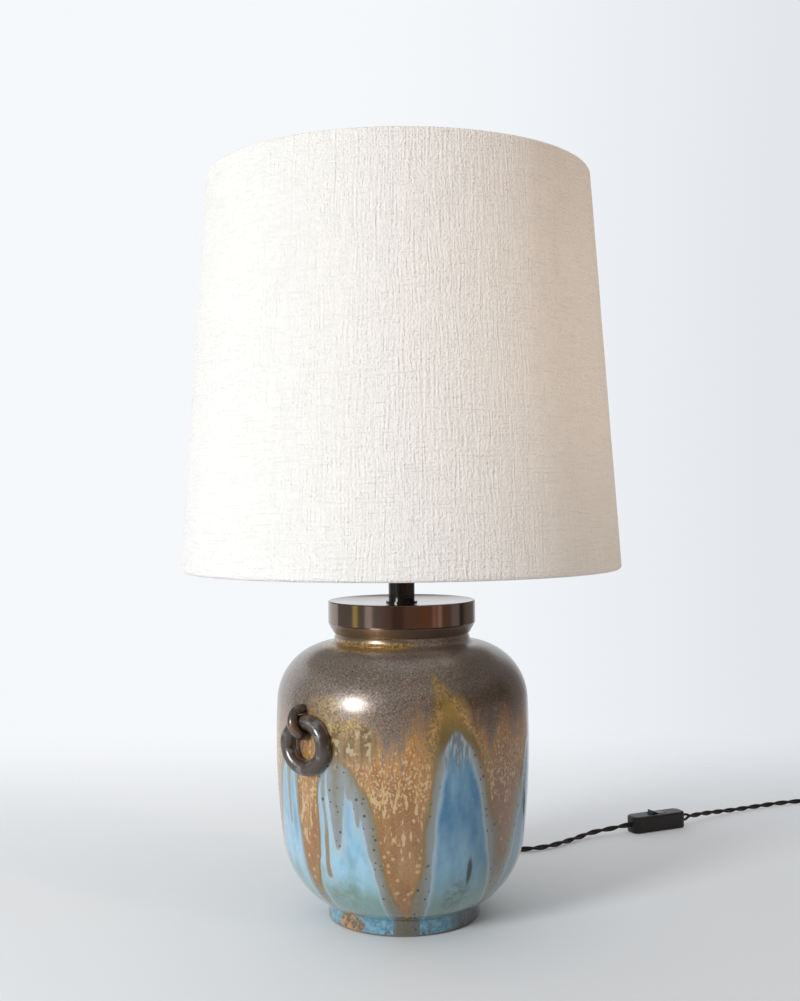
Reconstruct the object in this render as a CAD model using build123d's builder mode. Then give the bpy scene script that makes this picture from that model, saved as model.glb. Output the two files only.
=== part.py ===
from build123d import *

import os
from math import asin, atan2, cos, degrees, pi, radians, sin, sqrt, tan

# Stoneware table lamp, in millimetres. The origin is the centre of the foot's underside, +Z is up
# and the front of the glaze faces -Y. The flex leaves the jar at the back and runs off to the right.

# Jar: a foot ring, then three curves that run into each other, then a short neck
foot_radius = 69.5
foot_height = 15.5
foot_land = 11.0
foot_recess = 7.0
belly_radius = 115.6
belly_level = 160.3
side_bow = 700.0
base_bow = 74.8
base_bow_low = 5.4
shoulder_bow = 53.0
shoulder_top = 248.8
neck_radius = 60.0
neck_top = 277.5
neck_bore = 52.0
jar_wall = 7.0

# Ring handles: a clay ring lies a little askew on the wall, under a lug bent over its top
handle_angle = 44.0
handle_level = 170.4
handle_cock = 8.0
ring_radius = 19.5
ring_stock = 13.2
lug_stock = 8.4
lug_lean = 15.0
lug_clearance = 0.3
clay_sink = 1.8

# Cap: a turned metal ring and top that sleeves the neck, with a shallow dish
cap_radius = 67.6
cap_rim = 286.6
cap_dish = 2.2
cap_band = 20.3
cap_low = 257.3
cap_low_radius = 62.2
cap_clearance = 0.6
cap_edge = 0.8
gasket = 1.5

# Clamp under the neck, and the threaded tube that draws the cap down on it
tube_diameter = 10.0
tube_bore = 7.6
thread_clearance = 0.2
bar_length = 124.0
bar_width = 22.0
bar_thickness = 5.0
washer_radius = 12.0
washer_thickness = 2.0
nut_across = 17.0
nut_height = 8.0
tube_tail = 5.0

# Stem and lampholder
stem_diameter = 24.0
stem_wall = 2.0
stem_top = 325.0
stem_washer_radius = 14.5
stem_washer_thickness = 1.2
holder_radius = 19.5
holder_wall = 3.0
holder_floor = 7.0
holder_base_height = 27.0
holder_sleeve_height = 34.0
holder_flange_radius = 26.0
holder_flange_thickness = 2.5
holder_flange_rise = 4.0
screw_shell_radius = 14.3
screw_shell_wall = 0.6
ring_nut_radius = 27.0
ring_nut_height = 7.2

# Bulb
bulb_radius = 30.0
bulb_neck_radius = 14.0
bulb_cap_radius = 13.1
bulb_cap_height = 25.0
bulb_neck_height = 46.0
bulb_wall = 1.0

# Shade: cotton on a stiff liner, a wire ring at each end and three arms to the lampholder
shade_low_radius = 200.0
shade_high_radius = 174.8
shade_low = 315.3
shade_height = 355.9
fabric = 1.0
liner = 0.6
liner_inset = 1.5
shade_wire = 4.0
arm_wire = 3.6
fitter_radius = 31.0
fitter_thickness = 2.0
running_gap = 0.3

# Flex and the bush that it leaves the jar through
flex_diameter = 5.6
flex_clearance = 0.2
exit_level = 45.0
bush_radius = 5.2
bush_flange_radius = 9.0
bush_flange = 2.5
bush_nose = 22.0

# In-line switch, lying on the floor
switch_x = 288.0
switch_y = 275.5
switch_turn = 24.4
switch_length = 70.0
switch_width = 21.0
switch_height = 18.5
switch_corner = 7.5
switch_parting = 9.0
switch_wall = 2.2
rocker_length = 20.0
rocker_width = 9.0
rocker_throw = 24.0
rocker_rise = 3.8
rocker_pin = 2.5

# Coil of spare flex and the plug beside it
coil_x = 545.0
coil_y = 349.0
coil_radius = 40.3
coil_pitch = 6.2
coil_half_turns = 6
tie_strap = 1.0
tie_width = 10.0
plug_length = 38.0
plug_width = 35.0
plug_thickness = 13.7
plug_tail_radius = 4.6
pin_diameter = 4.0
pin_length = 19.0
pin_spacing = 18.6

# Levels and radii that follow from the sizes above
flex_radius = flex_diameter / 2
flex_rest = flex_radius + 0.1
side_centre = (belly_radius - side_bow, belly_level)


def bow_centre(bow, level):
    """Centre of a curve of the jar that runs into its long side curve."""
    reach = side_bow - bow
    return (side_centre[0] + sqrt(reach**2 - (level - side_centre[1]) ** 2), level)


def side_angle(centre):
    """Angle on the side curve at which another curve of the jar takes over."""
    return degrees(atan2(centre[1] - side_centre[1], centre[0] - side_centre[0]))


base_centre = bow_centre(base_bow, base_bow_low + base_bow)
shoulder_centre = bow_centre(shoulder_bow, shoulder_top - shoulder_bow)
base_angle = side_angle(base_centre)
shoulder_angle = side_angle(shoulder_centre)
foot_angle = degrees(asin((foot_height - base_centre[1]) / base_bow))
neck_blend = shoulder_centre[0] - neck_radius
inner_floor = base_centre[1] - base_bow + jar_wall
neck_underside = shoulder_top - jar_wall

# Where the flex leaves the wall, square to it
exit_angle = asin((exit_level - base_centre[1]) / base_bow)
exit_plane = Plane(
    origin=(0, base_centre[0] + base_bow * cos(exit_angle), exit_level),
    x_dir=(1, 0, 0),
    z_dir=(0, cos(exit_angle), sin(exit_angle)),
)

# Jar
with BuildPart() as stoneware_jar:
    with BuildSketch(Plane.XZ):
        with BuildLine():
            Polyline(
                (0, inner_floor),
                (0, foot_recess),
                (foot_radius - foot_land - 2, foot_recess),
                (foot_radius - foot_land, 0),
                (foot_radius, 0),
                (foot_radius, foot_height),
                (base_centre[0] + base_bow * cos(radians(foot_angle)), foot_height),
            )
            CenterArc(base_centre, base_bow, foot_angle, base_angle - foot_angle)
            CenterArc(side_centre, side_bow, base_angle, shoulder_angle - base_angle)
            CenterArc(shoulder_centre, shoulder_bow, shoulder_angle, 90 - shoulder_angle)
            CenterArc((shoulder_centre[0], shoulder_top + neck_blend), neck_blend, 180, 90)
            Polyline(
                (neck_radius, shoulder_top + neck_blend),
                (neck_radius, neck_top),
                (neck_bore, neck_top),
                (neck_bore, neck_underside),
                (shoulder_centre[0], neck_underside),
            )
            CenterArc(shoulder_centre, shoulder_bow - jar_wall, shoulder_angle, 90 - shoulder_angle)
            CenterArc(side_centre, side_bow - jar_wall, base_angle, shoulder_angle - base_angle)
            CenterArc(base_centre, base_bow - jar_wall, -90, base_angle + 90)
            Line((base_centre[0], inner_floor), (0, inner_floor))
        make_face()
    revolve(axis=Axis.Z)
    foot_edges = stoneware_jar.edges().filter_by(GeomType.CIRCLE).group_by(Axis.Z)[0]
    fillet(foot_edges, 1.5)
    with BuildSketch(exit_plane):
        Circle(bush_radius + 0.4)
    extrude(amount=jar_wall * 2, both=True, mode=Mode.SUBTRACT)
stoneware_jar.part.label = "stoneware_jar"

# Handles, on the wall at front left and at back right
handle_slope = asin((handle_level - belly_level) / side_bow)
handle_reach = side_centre[0] + side_bow * cos(handle_slope)
ring_lift = ring_stock / 2 - clay_sink
handle_planes = []
for turn in (270 - handle_angle, 90 - handle_angle):
    outward = Vector(cos(radians(turn)), sin(radians(turn)), 0)
    cocked = radians(turn + handle_cock)
    across = Vector(-sin(cocked), cos(cocked), 0)
    square = Vector(cos(cocked), sin(cocked), 0) * cos(handle_slope) + Vector(0, 0, sin(handle_slope))
    foot_point = outward * handle_reach + Vector(0, 0, handle_level)
    handle_planes.append(Plane(origin=foot_point + square * ring_lift, x_dir=across, z_dir=square))

with BuildPart() as handle_rings:
    with Locations(*handle_planes):
        Torus(ring_radius, ring_stock / 2)
    add(stoneware_jar.part, mode=Mode.SUBTRACT)
handle_rings.part.label = "handle_rings"

lug_bow = (ring_stock + lug_stock) / 2 + lug_clearance
lug_root = ring_lift + clay_sink + 3.0
lean = radians(lug_lean)
with BuildPart() as handle_lugs:
    for plane in handle_planes:
        rise = plane.y_dir * cos(lean) - plane.x_dir * sin(lean)
        lug_plane = Plane(origin=plane.origin, x_dir=rise, z_dir=rise.cross(plane.z_dir))
        with BuildLine(lug_plane) as lug_line:
            Line((ring_radius + lug_bow, -lug_root), (ring_radius + lug_bow, 0))
            CenterArc((ring_radius, 0), lug_bow, 0, 180)
            Line((ring_radius - lug_bow, 0), (ring_radius - lug_bow, -lug_root))
        with BuildSketch(Plane(origin=lug_line.line @ 0, z_dir=lug_line.line % 0)) as lug_section:
            Circle(lug_stock / 2)
        sweep(sections=lug_section.sketch, path=lug_line.line)
    add(stoneware_jar.part, mode=Mode.SUBTRACT)
handle_lugs.part.label = "handle_lugs"

# Cap on the neck, with its gasket
cap_under = neck_top + gasket
cap_land = cap_rim - cap_dish
cap_bore = neck_radius + cap_clearance
tube_hole = tube_diameter / 2 + thread_clearance
with BuildPart() as mouth_cap:
    with BuildSketch(Plane.XZ):
        with BuildLine():
            land_edge = (stem_washer_radius + 2, cap_land)
            rim_edge = (cap_radius - cap_edge, cap_rim)
            TangentArc(land_edge, rim_edge, tangent=(1, 0))
            Polyline(
                rim_edge,
                (cap_radius, cap_rim - cap_edge),
                (cap_radius, cap_rim - cap_band),
                (cap_low_radius, cap_low),
                (cap_bore, cap_low),
                (cap_bore, cap_under),
                (tube_hole, cap_under),
                (tube_hole, cap_land),
                land_edge,
            )
        make_face()
    revolve(axis=Axis.Z)
mouth_cap.part.label = "mouth_cap"

with BuildPart() as cap_gasket:
    with BuildSketch(Plane.XY.offset(neck_top)):
        Circle(neck_radius - 0.5)
        Circle(neck_bore + 0.5, mode=Mode.SUBTRACT)
    extrude(amount=gasket)
cap_gasket.part.label = "cap_gasket"

# Clamp bar, washer and nut under the neck
with BuildPart() as clamp_bar:
    with BuildSketch(Plane.XY.offset(neck_underside - bar_thickness)):
        SlotOverall(bar_length, bar_width)
        Circle(tube_hole, mode=Mode.SUBTRACT)
    extrude(amount=bar_thickness)
clamp_bar.part.label = "clamp_bar"

washer_low = neck_underside - bar_thickness - washer_thickness
with BuildPart() as clamp_washer:
    with BuildSketch(Plane.XY.offset(washer_low)):
        Circle(washer_radius)
        Circle(tube_hole, mode=Mode.SUBTRACT)
    extrude(amount=washer_thickness)
clamp_washer.part.label = "clamp_washer"

nut_low = washer_low - nut_height
with BuildPart() as clamp_nut:
    with BuildSketch(Plane.XY.offset(nut_low)):
        RegularPolygon(nut_across / 2, 6, major_radius=False)
        Circle(tube_hole, mode=Mode.SUBTRACT)
    extrude(amount=nut_height)
clamp_nut.part.label = "clamp_nut"

tube_low = nut_low - tube_tail
with BuildPart() as threaded_tube:
    with BuildSketch(Plane.XY.offset(tube_low)):
        Circle(tube_diameter / 2)
        Circle(tube_bore / 2, mode=Mode.SUBTRACT)
    extrude(amount=stem_top + holder_floor - 0.5 - tube_low)
threaded_tube.part.label = "threaded_tube"

# Stem and its washer
stem_low = cap_land + stem_washer_thickness
with BuildPart() as stem_washer:
    with BuildSketch(Plane.XY.offset(cap_land)):
        Circle(stem_washer_radius)
        Circle(tube_hole, mode=Mode.SUBTRACT)
    extrude(amount=stem_washer_thickness)
stem_washer.part.label = "stem_washer"

with BuildPart() as stem:
    with BuildSketch(Plane.XY.offset(stem_low)):
        Circle(stem_diameter / 2)
        Circle(stem_diameter / 2 - stem_wall, mode=Mode.SUBTRACT)
    extrude(amount=stem_top - stem_low)
stem.part.label = "stem"

# Lampholder: base, ceramic insert with its screws and contact, screw shell, sleeve and ring nut
base_top = stem_top + holder_base_height
holder_bore = holder_radius - holder_wall
with BuildPart() as holder_base:
    with BuildSketch(Plane.XZ):
        with BuildLine():
            Polyline(
                (tube_hole, stem_top),
                (stem_diameter / 2 + 1.5, stem_top),
                (holder_radius, stem_top + holder_base_height * 0.6),
                (holder_radius, base_top),
                (holder_bore, base_top),
                (holder_bore, stem_top + holder_base_height * 0.62),
                (stem_diameter / 2 - 1.5, stem_top + holder_floor),
                (tube_hole, stem_top + holder_floor),
                close=True,
            )
        make_face()
    revolve(axis=Axis.Z)
holder_base.part.label = "holder_base"

insert_low = base_top - 9
insert_top = base_top + 4
with BuildPart() as holder_insert:
    with BuildSketch(Plane.XY.offset(insert_low)):
        Circle(holder_bore - 0.3)
    extrude(amount=10)
    with BuildSketch(Plane.XY.offset(insert_low + 10)):
        Circle(screw_shell_radius - screw_shell_wall - 0.3)
    extrude(amount=insert_top - insert_low - 10)
holder_insert.part.label = "holder_insert"

with BuildPart() as holder_screws:
    with BuildSketch(Plane.XY.offset(insert_low - 3)):
        with PolarLocations(9, 2):
            Circle(2.4)
    extrude(amount=3)
    with BuildSketch(Plane.XY.offset(insert_low - 3)):
        with PolarLocations(9, 2):
            Rectangle(6, 0.8)
    extrude(amount=1, mode=Mode.SUBTRACT)
holder_screws.part.label = "holder_screws"

with BuildPart() as holder_contact:
    with BuildSketch(Plane.XY.offset(insert_top)):
        SlotOverall(16, 5)
    extrude(amount=0.8)
    with BuildSketch(Plane.XY.offset(insert_top + 0.8)):
        Circle(2.4)
    extrude(amount=2.2)
holder_contact.part.label = "holder_contact"

with BuildPart() as holder_shell:
    with BuildSketch(Plane.XY.offset(insert_low + 10.4)):
        Circle(screw_shell_radius)
        Circle(screw_shell_radius - screw_shell_wall, mode=Mode.SUBTRACT)
    extrude(amount=28)
holder_shell.part.label = "holder_shell"

sleeve_top = base_top + holder_sleeve_height
flange_low = base_top + holder_flange_rise
flange_top = flange_low + holder_flange_thickness
with BuildPart() as holder_sleeve:
    with BuildSketch(Plane.XY.offset(base_top)):
        Circle(holder_radius)
    extrude(amount=holder_sleeve_height)
    with BuildSketch(Plane.XY.offset(flange_low)):
        Circle(holder_flange_radius)
    extrude(amount=holder_flange_thickness)
    with BuildSketch(Plane.XY.offset(base_top)):
        Circle(holder_bore)
    extrude(amount=1.3, mode=Mode.SUBTRACT)
    with BuildSketch(Plane.XY.offset(base_top)):
        Circle(screw_shell_radius + 0.3)
    extrude(amount=holder_sleeve_height, mode=Mode.SUBTRACT)
    chamfer(holder_sleeve.edges().filter_by(GeomType.CIRCLE).group_by(Axis.Z)[-1], 0.8)
holder_sleeve.part.label = "holder_sleeve"

fitter_low = flange_top
fitter_top = fitter_low + fitter_thickness
with BuildPart() as shade_ring_nut:
    with BuildSketch(Plane.XY.offset(fitter_top + running_gap)):
        Circle(ring_nut_radius)
        with PolarLocations(ring_nut_radius, 18):
            Circle(1.6, mode=Mode.SUBTRACT)
        Circle(holder_radius + thread_clearance, mode=Mode.SUBTRACT)
    extrude(amount=ring_nut_height)
shade_ring_nut.part.label = "shade_ring_nut"

# Bulb
contact_low = insert_top + 3.3
bulb_low = contact_low + 2.5
with BuildPart() as bulb_contact:
    with BuildSketch(Plane.XZ):
        with BuildLine():
            Polyline((0, contact_low), (4.5, contact_low), (9, bulb_low), (0, bulb_low), close=True)
        make_face()
    revolve(axis=Axis.Z)
bulb_contact.part.label = "bulb_contact"

glass_low = bulb_low + bulb_cap_height
thread_pitch = 3.6
with BuildPart() as bulb_cap:
    with BuildSketch(Plane.XY.offset(bulb_low)):
        Circle(bulb_cap_radius)
    extrude(amount=bulb_cap_height)
    for groove in range(5):
        with BuildSketch(Plane.XZ):
            with Locations((bulb_cap_radius + 0.9, bulb_low + 4 + groove * thread_pitch)):
                Circle(1.7)
        revolve(axis=Axis.Z, mode=Mode.SUBTRACT)
    chamfer(bulb_cap.edges().filter_by(GeomType.CIRCLE).group_by(Axis.Z)[0], 2.0)
bulb_cap.part.label = "bulb_cap"

bulb_centre = glass_low + bulb_neck_height
with BuildPart() as bulb_glass:
    for skin, mode in ((0.0, Mode.ADD), (bulb_wall, Mode.SUBTRACT)):
        with BuildSketch(Plane.XZ):
            with BuildLine():
                neck = (bulb_neck_radius - skin, glass_low + skin)
                waist = (bulb_radius - skin, bulb_centre)
                crown = (0, bulb_centre + bulb_radius - skin)
                Line((0, glass_low + skin), neck)
                Spline(neck, waist, tangents=((0, 1), (0, 1)))
                CenterArc((0, bulb_centre), bulb_radius - skin, 0, 90)
                Line(crown, (0, glass_low + skin))
            make_face()
        revolve(axis=Axis.Z, mode=mode)
bulb_glass.part.label = "bulb_glass"

# Shade
shade_high = shade_low + shade_height
shade_slope = (shade_high_radius - shade_low_radius) / shade_height


def shade_radius(level):
    """Outer radius of the cotton at a level."""
    return shade_low_radius + shade_slope * (level - shade_low)


def shade_skin(low, high, outer_inset, thickness):
    """Corners of a thin cone that lies a given depth inside the cotton's outer face."""
    return (
        (shade_radius(low) - outer_inset, low),
        (shade_radius(high) - outer_inset, high),
        (shade_radius(high) - outer_inset - thickness, high),
        (shade_radius(low) - outer_inset - thickness, low),
    )


with BuildPart() as shade_fabric:
    with BuildSketch(Plane.XZ):
        with BuildLine():
            Polyline(*shade_skin(shade_low, shade_high, 0, fabric), close=True)
        make_face()
    revolve(axis=Axis.Z)
shade_fabric.part.label = "shade_fabric"

with BuildPart() as shade_liner:
    with BuildSketch(Plane.XZ):
        with BuildLine():
            Polyline(*shade_skin(shade_low + liner_inset, shade_high - liner_inset, fabric, liner), close=True)
        make_face()
    revolve(axis=Axis.Z)
shade_liner.part.label = "shade_liner"

wire_inset = fabric + liner + shade_wire / 2 + 0.2
high_wire = shade_high - shade_wire / 2 - 0.5
low_wire = shade_low + shade_wire / 2 + 0.5
with BuildPart(Plane.XY.offset(high_wire)) as shade_top_ring:
    Torus(shade_radius(high_wire) - wire_inset, shade_wire / 2)
shade_top_ring.part.label = "shade_top_ring"

low_wire_radius = shade_radius(low_wire) - wire_inset
fitter_middle = (fitter_low + fitter_top) / 2
with BuildPart(Plane.XY.offset(low_wire)) as shade_frame:
    Torus(low_wire_radius, shade_wire / 2)
    with BuildSketch(Plane.XY.offset(fitter_low)):
        Circle(fitter_radius)
        Circle(holder_radius + 0.8, mode=Mode.SUBTRACT)
    extrude(amount=fitter_thickness)
    for arm in range(3):
        arm_plane = Plane.XZ.rotated((0, 0, 30 + arm * 120))
        with BuildLine(arm_plane) as arm_line:
            FilletPolyline(
                (low_wire_radius, low_wire),
                (fitter_radius * 2, fitter_middle),
                (fitter_radius - 2, fitter_middle),
                radius=25,
            )
        with BuildSketch(Plane(origin=arm_line.line @ 0, z_dir=arm_line.line % 0)) as arm_section:
            Circle(arm_wire / 2)
        sweep(sections=arm_section.sketch, path=arm_line.line)
shade_frame.part.label = "shade_frame"

# Bush through the jar's back wall, and its nut inside
bush_tail = jar_wall + 5.5
with BuildPart() as cord_bush:
    with BuildSketch(exit_plane):
        Circle(bush_flange_radius)
    extrude(amount=bush_flange)
    with BuildSketch(exit_plane.offset(bush_flange)):
        Circle(bush_radius + 0.4)
    with BuildSketch(exit_plane.offset(bush_nose)):
        Circle(flex_radius + 1.2)
    loft()
    with BuildSketch(exit_plane):
        Circle(bush_radius)
    extrude(amount=-bush_tail)
    with BuildSketch(exit_plane.offset(-bush_tail)):
        Circle(flex_radius + flex_clearance)
    extrude(amount=bush_tail + bush_nose, mode=Mode.SUBTRACT)
cord_bush.part.label = "cord_bush"

with BuildPart() as bush_nut:
    with BuildSketch(exit_plane.offset(-bush_tail + 0.7)):
        RegularPolygon(bush_radius + 2.8, 6, major_radius=False)
        Circle(bush_radius + thread_clearance, mode=Mode.SUBTRACT)
    extrude(amount=3.5)
bush_nut.part.label = "bush_nut"

# Switch: two shells, a rocker on its pin, terminals and two screws
along = Vector(cos(radians(switch_turn)), sin(radians(switch_turn)), 0)
sideways = Vector(-sin(radians(switch_turn)), cos(radians(switch_turn)), 0)
switch_plane = Plane(origin=(switch_x, switch_y, 0), x_dir=along, z_dir=(0, 0, 1))
flex_entry = 5.0
boss_offset = switch_length * 0.34
boss_radius = 3.6
shell_length = switch_length - 2 * switch_wall
shell_width = switch_width - 2 * switch_wall
shell_corner = switch_corner - switch_wall
bore_end = switch_length / 2 - 2 * flex_entry
bore_planes = [
    Plane(origin=switch_plane.from_local_coords((side * bore_end, 0, switch_parting)), z_dir=along * side)
    for side in (-1, 1)
]
with BuildPart() as switch_lower:
    with BuildSketch(switch_plane):
        RectangleRounded(switch_length, switch_width, switch_corner)
    extrude(amount=switch_parting)
    fillet(switch_lower.faces().sort_by(Axis.Z)[0].edges(), 1.5)
    with BuildSketch(switch_plane.offset(switch_wall)):
        RectangleRounded(shell_length, shell_width, shell_corner)
    extrude(amount=switch_parting, mode=Mode.SUBTRACT)
    with BuildSketch(switch_plane.offset(switch_wall)):
        with Locations((-boss_offset, 0), (boss_offset, 0)):
            Circle(boss_radius)
    extrude(amount=switch_parting - switch_wall)
    with BuildSketch(switch_plane):
        with Locations((-boss_offset, 0), (boss_offset, 0)):
            Circle(1.7)
    extrude(amount=switch_parting, mode=Mode.SUBTRACT)
    with BuildSketch(switch_plane):
        with Locations((-boss_offset, 0), (boss_offset, 0)):
            Circle(2.9)
    extrude(amount=2, mode=Mode.SUBTRACT)
    for bore_plane in bore_planes:
        with BuildSketch(bore_plane):
            Circle(flex_radius + flex_clearance)
        extrude(amount=3 * flex_entry, mode=Mode.SUBTRACT)
switch_lower.part.label = "switch_lower"

pivot_level = switch_height - rocker_rise + 0.3
with BuildPart() as switch_upper:
    with BuildSketch(switch_plane.offset(switch_parting)):
        RectangleRounded(switch_length, switch_width, switch_corner)
    extrude(amount=switch_height - switch_parting)
    fillet(switch_upper.faces().sort_by(Axis.Z)[-1].edges(), 2.4)
    with BuildSketch(switch_plane.offset(switch_parting)):
        RectangleRounded(shell_length, shell_width, shell_corner)
    extrude(amount=switch_height - switch_parting - switch_wall, mode=Mode.SUBTRACT)
    with BuildSketch(switch_plane.offset(switch_parting)):
        with Locations((-boss_offset, 0), (boss_offset, 0)):
            Circle(boss_radius)
        Rectangle(rocker_length + 6, shell_width)
    extrude(amount=switch_height - switch_parting - switch_wall)
    with BuildSketch(switch_plane.offset(switch_parting)):
        with Locations((-boss_offset, 0), (boss_offset, 0)):
            Circle(1.5)
    extrude(amount=5.5, mode=Mode.SUBTRACT)
    with BuildSketch(switch_plane.offset(switch_parting)):
        Rectangle(rocker_length + 2 * running_gap + 0.4, rocker_width + 2 * running_gap)
    extrude(amount=switch_height, mode=Mode.SUBTRACT)
    with BuildSketch(Plane(origin=(switch_x, switch_y, pivot_level), x_dir=along, z_dir=sideways)):
        Circle(rocker_pin / 2 + running_gap)
    extrude(amount=shell_width / 2, both=True, mode=Mode.SUBTRACT)
    for bore_plane in bore_planes:
        with BuildSketch(bore_plane):
            Circle(flex_radius + flex_clearance)
        extrude(amount=3 * flex_entry, mode=Mode.SUBTRACT)
switch_upper.part.label = "switch_upper"

# The rocker rests with its left end up: its own plane leans by half the throw
lean = radians(rocker_throw / 2)
rocker_along = along * cos(lean) - Vector(0, 0, sin(lean))
rocker_plane = Plane(
    origin=(switch_x, switch_y, pivot_level), x_dir=rocker_along, z_dir=sideways * -1
)
tip_x = rocker_length / 2 * cos(lean) - rocker_rise * sin(lean)
tip_y = rocker_length / 2 * sin(lean) + rocker_rise * cos(lean)
with BuildPart() as switch_rocker:
    with BuildSketch(rocker_plane):
        with BuildLine():
            Polyline(
                (0, tip_y - tip_x * tan(lean)),
                (tip_x, tip_y),
                (tip_x, 0),
                (tip_x * 0.45, -rocker_rise),
                (-tip_x * 0.45, -rocker_rise),
                (-tip_x, 0),
                (-tip_x, tip_y),
                close=True,
            )
        make_face()
    extrude(amount=rocker_width / 2, both=True)
    with BuildSketch(rocker_plane):
        Circle(rocker_pin / 2)
    extrude(amount=shell_width / 2 - running_gap, both=True)
switch_rocker.part.label = "switch_rocker"

with BuildPart() as switch_screws:
    with BuildSketch(switch_plane.offset(0.4)):
        with Locations((-boss_offset, 0), (boss_offset, 0)):
            Circle(2.6)
    extrude(amount=1.6)
    with BuildSketch(switch_plane.offset(2)):
        with Locations((-boss_offset, 0), (boss_offset, 0)):
            Circle(1.3)
    extrude(amount=switch_parting + 2.5)
    with BuildSketch(switch_plane.offset(0.4)):
        with Locations((-boss_offset, 0), (boss_offset, 0)):
            Rectangle(6, 0.7)
    extrude(amount=0.8, mode=Mode.SUBTRACT)
switch_screws.part.label = "switch_screws"

with BuildPart() as switch_terminals:
    with BuildSketch(switch_plane.offset(switch_wall)):
        with GridLocations(rocker_length, shell_width / 2, 2, 2):
            Rectangle(6, 5)
    extrude(amount=5)
    with BuildSketch(switch_plane.offset(switch_wall + 5)):
        with GridLocations(rocker_length, shell_width / 2, 2, 2):
            Circle(1.5)
    extrude(amount=1.2)
switch_terminals.part.label = "switch_terminals"

# Routes of the flex. Each list goes from one end piece to the next, as (right, back, height).
bush_tip = exit_plane.from_local_coords((0, 0, bush_nose))
switch_in = switch_plane.from_local_coords((flex_entry - switch_length / 2, 0, switch_parting))
switch_out = switch_plane.from_local_coords((switch_length / 2 - flex_entry, 0, switch_parting))
tie_floor = tie_strap + 0.6
coil_low = tie_floor + flex_radius
coil_high = coil_low + coil_pitch
coil_lead = flex_diameter
coil_start = Vector(coil_x - coil_lead, coil_y + coil_radius, coil_low)

inside_route = [
    bush_tip,
    Vector(0, 0, bush_tip.Z - bush_tip.Y * tan(exit_angle)),
    Vector(0, 0, insert_low - 5),
]
lamp_side_route = [
    bush_tip,
    bush_tip + exit_plane.z_dir * 25,
    Vector(8, 170, 11.8),
    Vector(26, 186, 5.0),
    Vector(52, 191, flex_rest),
    Vector(79, 188.5, flex_rest),
    Vector(105, 185.5, flex_rest),
    Vector(130, 187, flex_rest),
    Vector(154, 196, flex_rest),
    Vector(175, 213.5, flex_rest),
    Vector(194, 231, 3.4),
    Vector(211, 245, 5.2),
    switch_in - along * 28 + Vector(0, 0.6, -1.6),
    switch_in - along * 12,
    switch_in,
]
floor_route = [
    switch_out,
    switch_out + along * 15,
    Vector(348, 311, 7.8),
    Vector(370, 329, 5.2),
    Vector(396, 345.5, 3.4),
    Vector(425, 362, flex_rest),
    Vector(456, 377, flex_rest),
    Vector(487, 386.5, 3.2),
    coil_start - Vector(24, 0, 0),
    coil_start,
]


def bend_radii(route):
    """Bend at each corner of a route, as large as its shorter run allows."""
    radii = []
    for before, corner, after in zip(route, route[1:], route[2:]):
        turn = radians((corner - before).get_angle(after - corner))
        run = min((corner - before).length, (after - corner).length)
        radii.append(0.45 * run / tan(turn / 2))
    return radii


def tell_tube(label, tube, line, radii):
    """Print a tube's length, its smallest bend and its volume over section times length."""
    fill = tube.volume / (pi * flex_radius**2 * line.length)
    print(label, "length", round(line.length, 1), "smallest bend", round(min(radii), 1), "fill", round(fill, 4))


with BuildPart() as flex_inside:
    with BuildLine() as inside_line:
        FilletPolyline(*inside_route, radius=bend_radii(inside_route))
    with BuildSketch(Plane(origin=inside_line.line @ 0, z_dir=inside_line.line % 0)):
        Circle(flex_radius)
    sweep(path=inside_line.line)
flex_inside.part.label = "flex_inside"
tell_tube("flex_inside", flex_inside.part, inside_line.wire(), bend_radii(inside_route))

with BuildPart() as flex_lamp_side:
    with BuildLine() as lamp_side_line:
        FilletPolyline(*lamp_side_route, radius=bend_radii(lamp_side_route))
    with BuildSketch(Plane(origin=lamp_side_line.line @ 0, z_dir=lamp_side_line.line % 0)):
        Circle(flex_radius)
    sweep(path=lamp_side_line.line)
flex_lamp_side.part.label = "flex_lamp_side"
tell_tube("flex_lamp_side", flex_lamp_side.part, lamp_side_line.wire(), bend_radii(lamp_side_route))

with BuildPart() as flex_floor:
    with BuildLine() as floor_line:
        FilletPolyline(*floor_route, radius=bend_radii(floor_route))
    with BuildSketch(Plane(origin=floor_line.line @ 0, z_dir=floor_line.line % 0)):
        Circle(flex_radius)
    sweep(path=floor_line.line)
flex_floor.part.label = "flex_floor"
tell_tube("flex_floor", flex_floor.part, floor_line.wire(), bend_radii(floor_route))

# Coil: half turns that spiral in, climb a layer, and spiral out to a quarter turn and the plug lead
half_step = coil_pitch / 2
stations_in = [coil_radius - half_step * n for n in range(coil_half_turns + 1)]
stations_out = [coil_radius - half_step * n for n in range(coil_half_turns - 1, 0, -1)]
climb_station = coil_radius - half_step * (coil_half_turns + 1)
with BuildPart() as flex_coil:
    with BuildLine() as coil_line:
        heading = Vector(1, 0, 0)
        side = 1
        here = Vector(coil_x, coil_y + stations_in[0], coil_low)
        Line(coil_start, here)
        for station in stations_in[1:]:
            side = -side
            there = Vector(coil_x, coil_y + side * station, coil_low)
            TangentArc(here, there, tangent=heading)
            heading = heading * -1
            here = there
        side = -side
        there = Vector(coil_x, coil_y + side * climb_station, coil_high)
        rise = there - here
        halfway = (here + there) * 0.5 + heading * (rise.length / 2)
        TangentArc(here, halfway, tangent=heading)
        TangentArc(halfway, there, tangent=rise)
        heading = heading * -1
        here = there
        for station in stations_out:
            side = -side
            there = Vector(coil_x, coil_y + side * station, coil_high)
            TangentArc(here, there, tangent=heading)
            heading = heading * -1
            here = there
        quarter = (coil_radius + stations_in[1]) / 2
        there = here + Vector(quarter, -quarter, 0)
        TangentArc(here, there, tangent=heading)
        coil_end = there - Vector(0, coil_lead, 0)
        Line(there, coil_end)
    with BuildSketch(Plane(origin=coil_line.line @ 0, z_dir=coil_line.line % 0)):
        Circle(flex_radius)
    sweep(path=coil_line.line)
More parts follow.
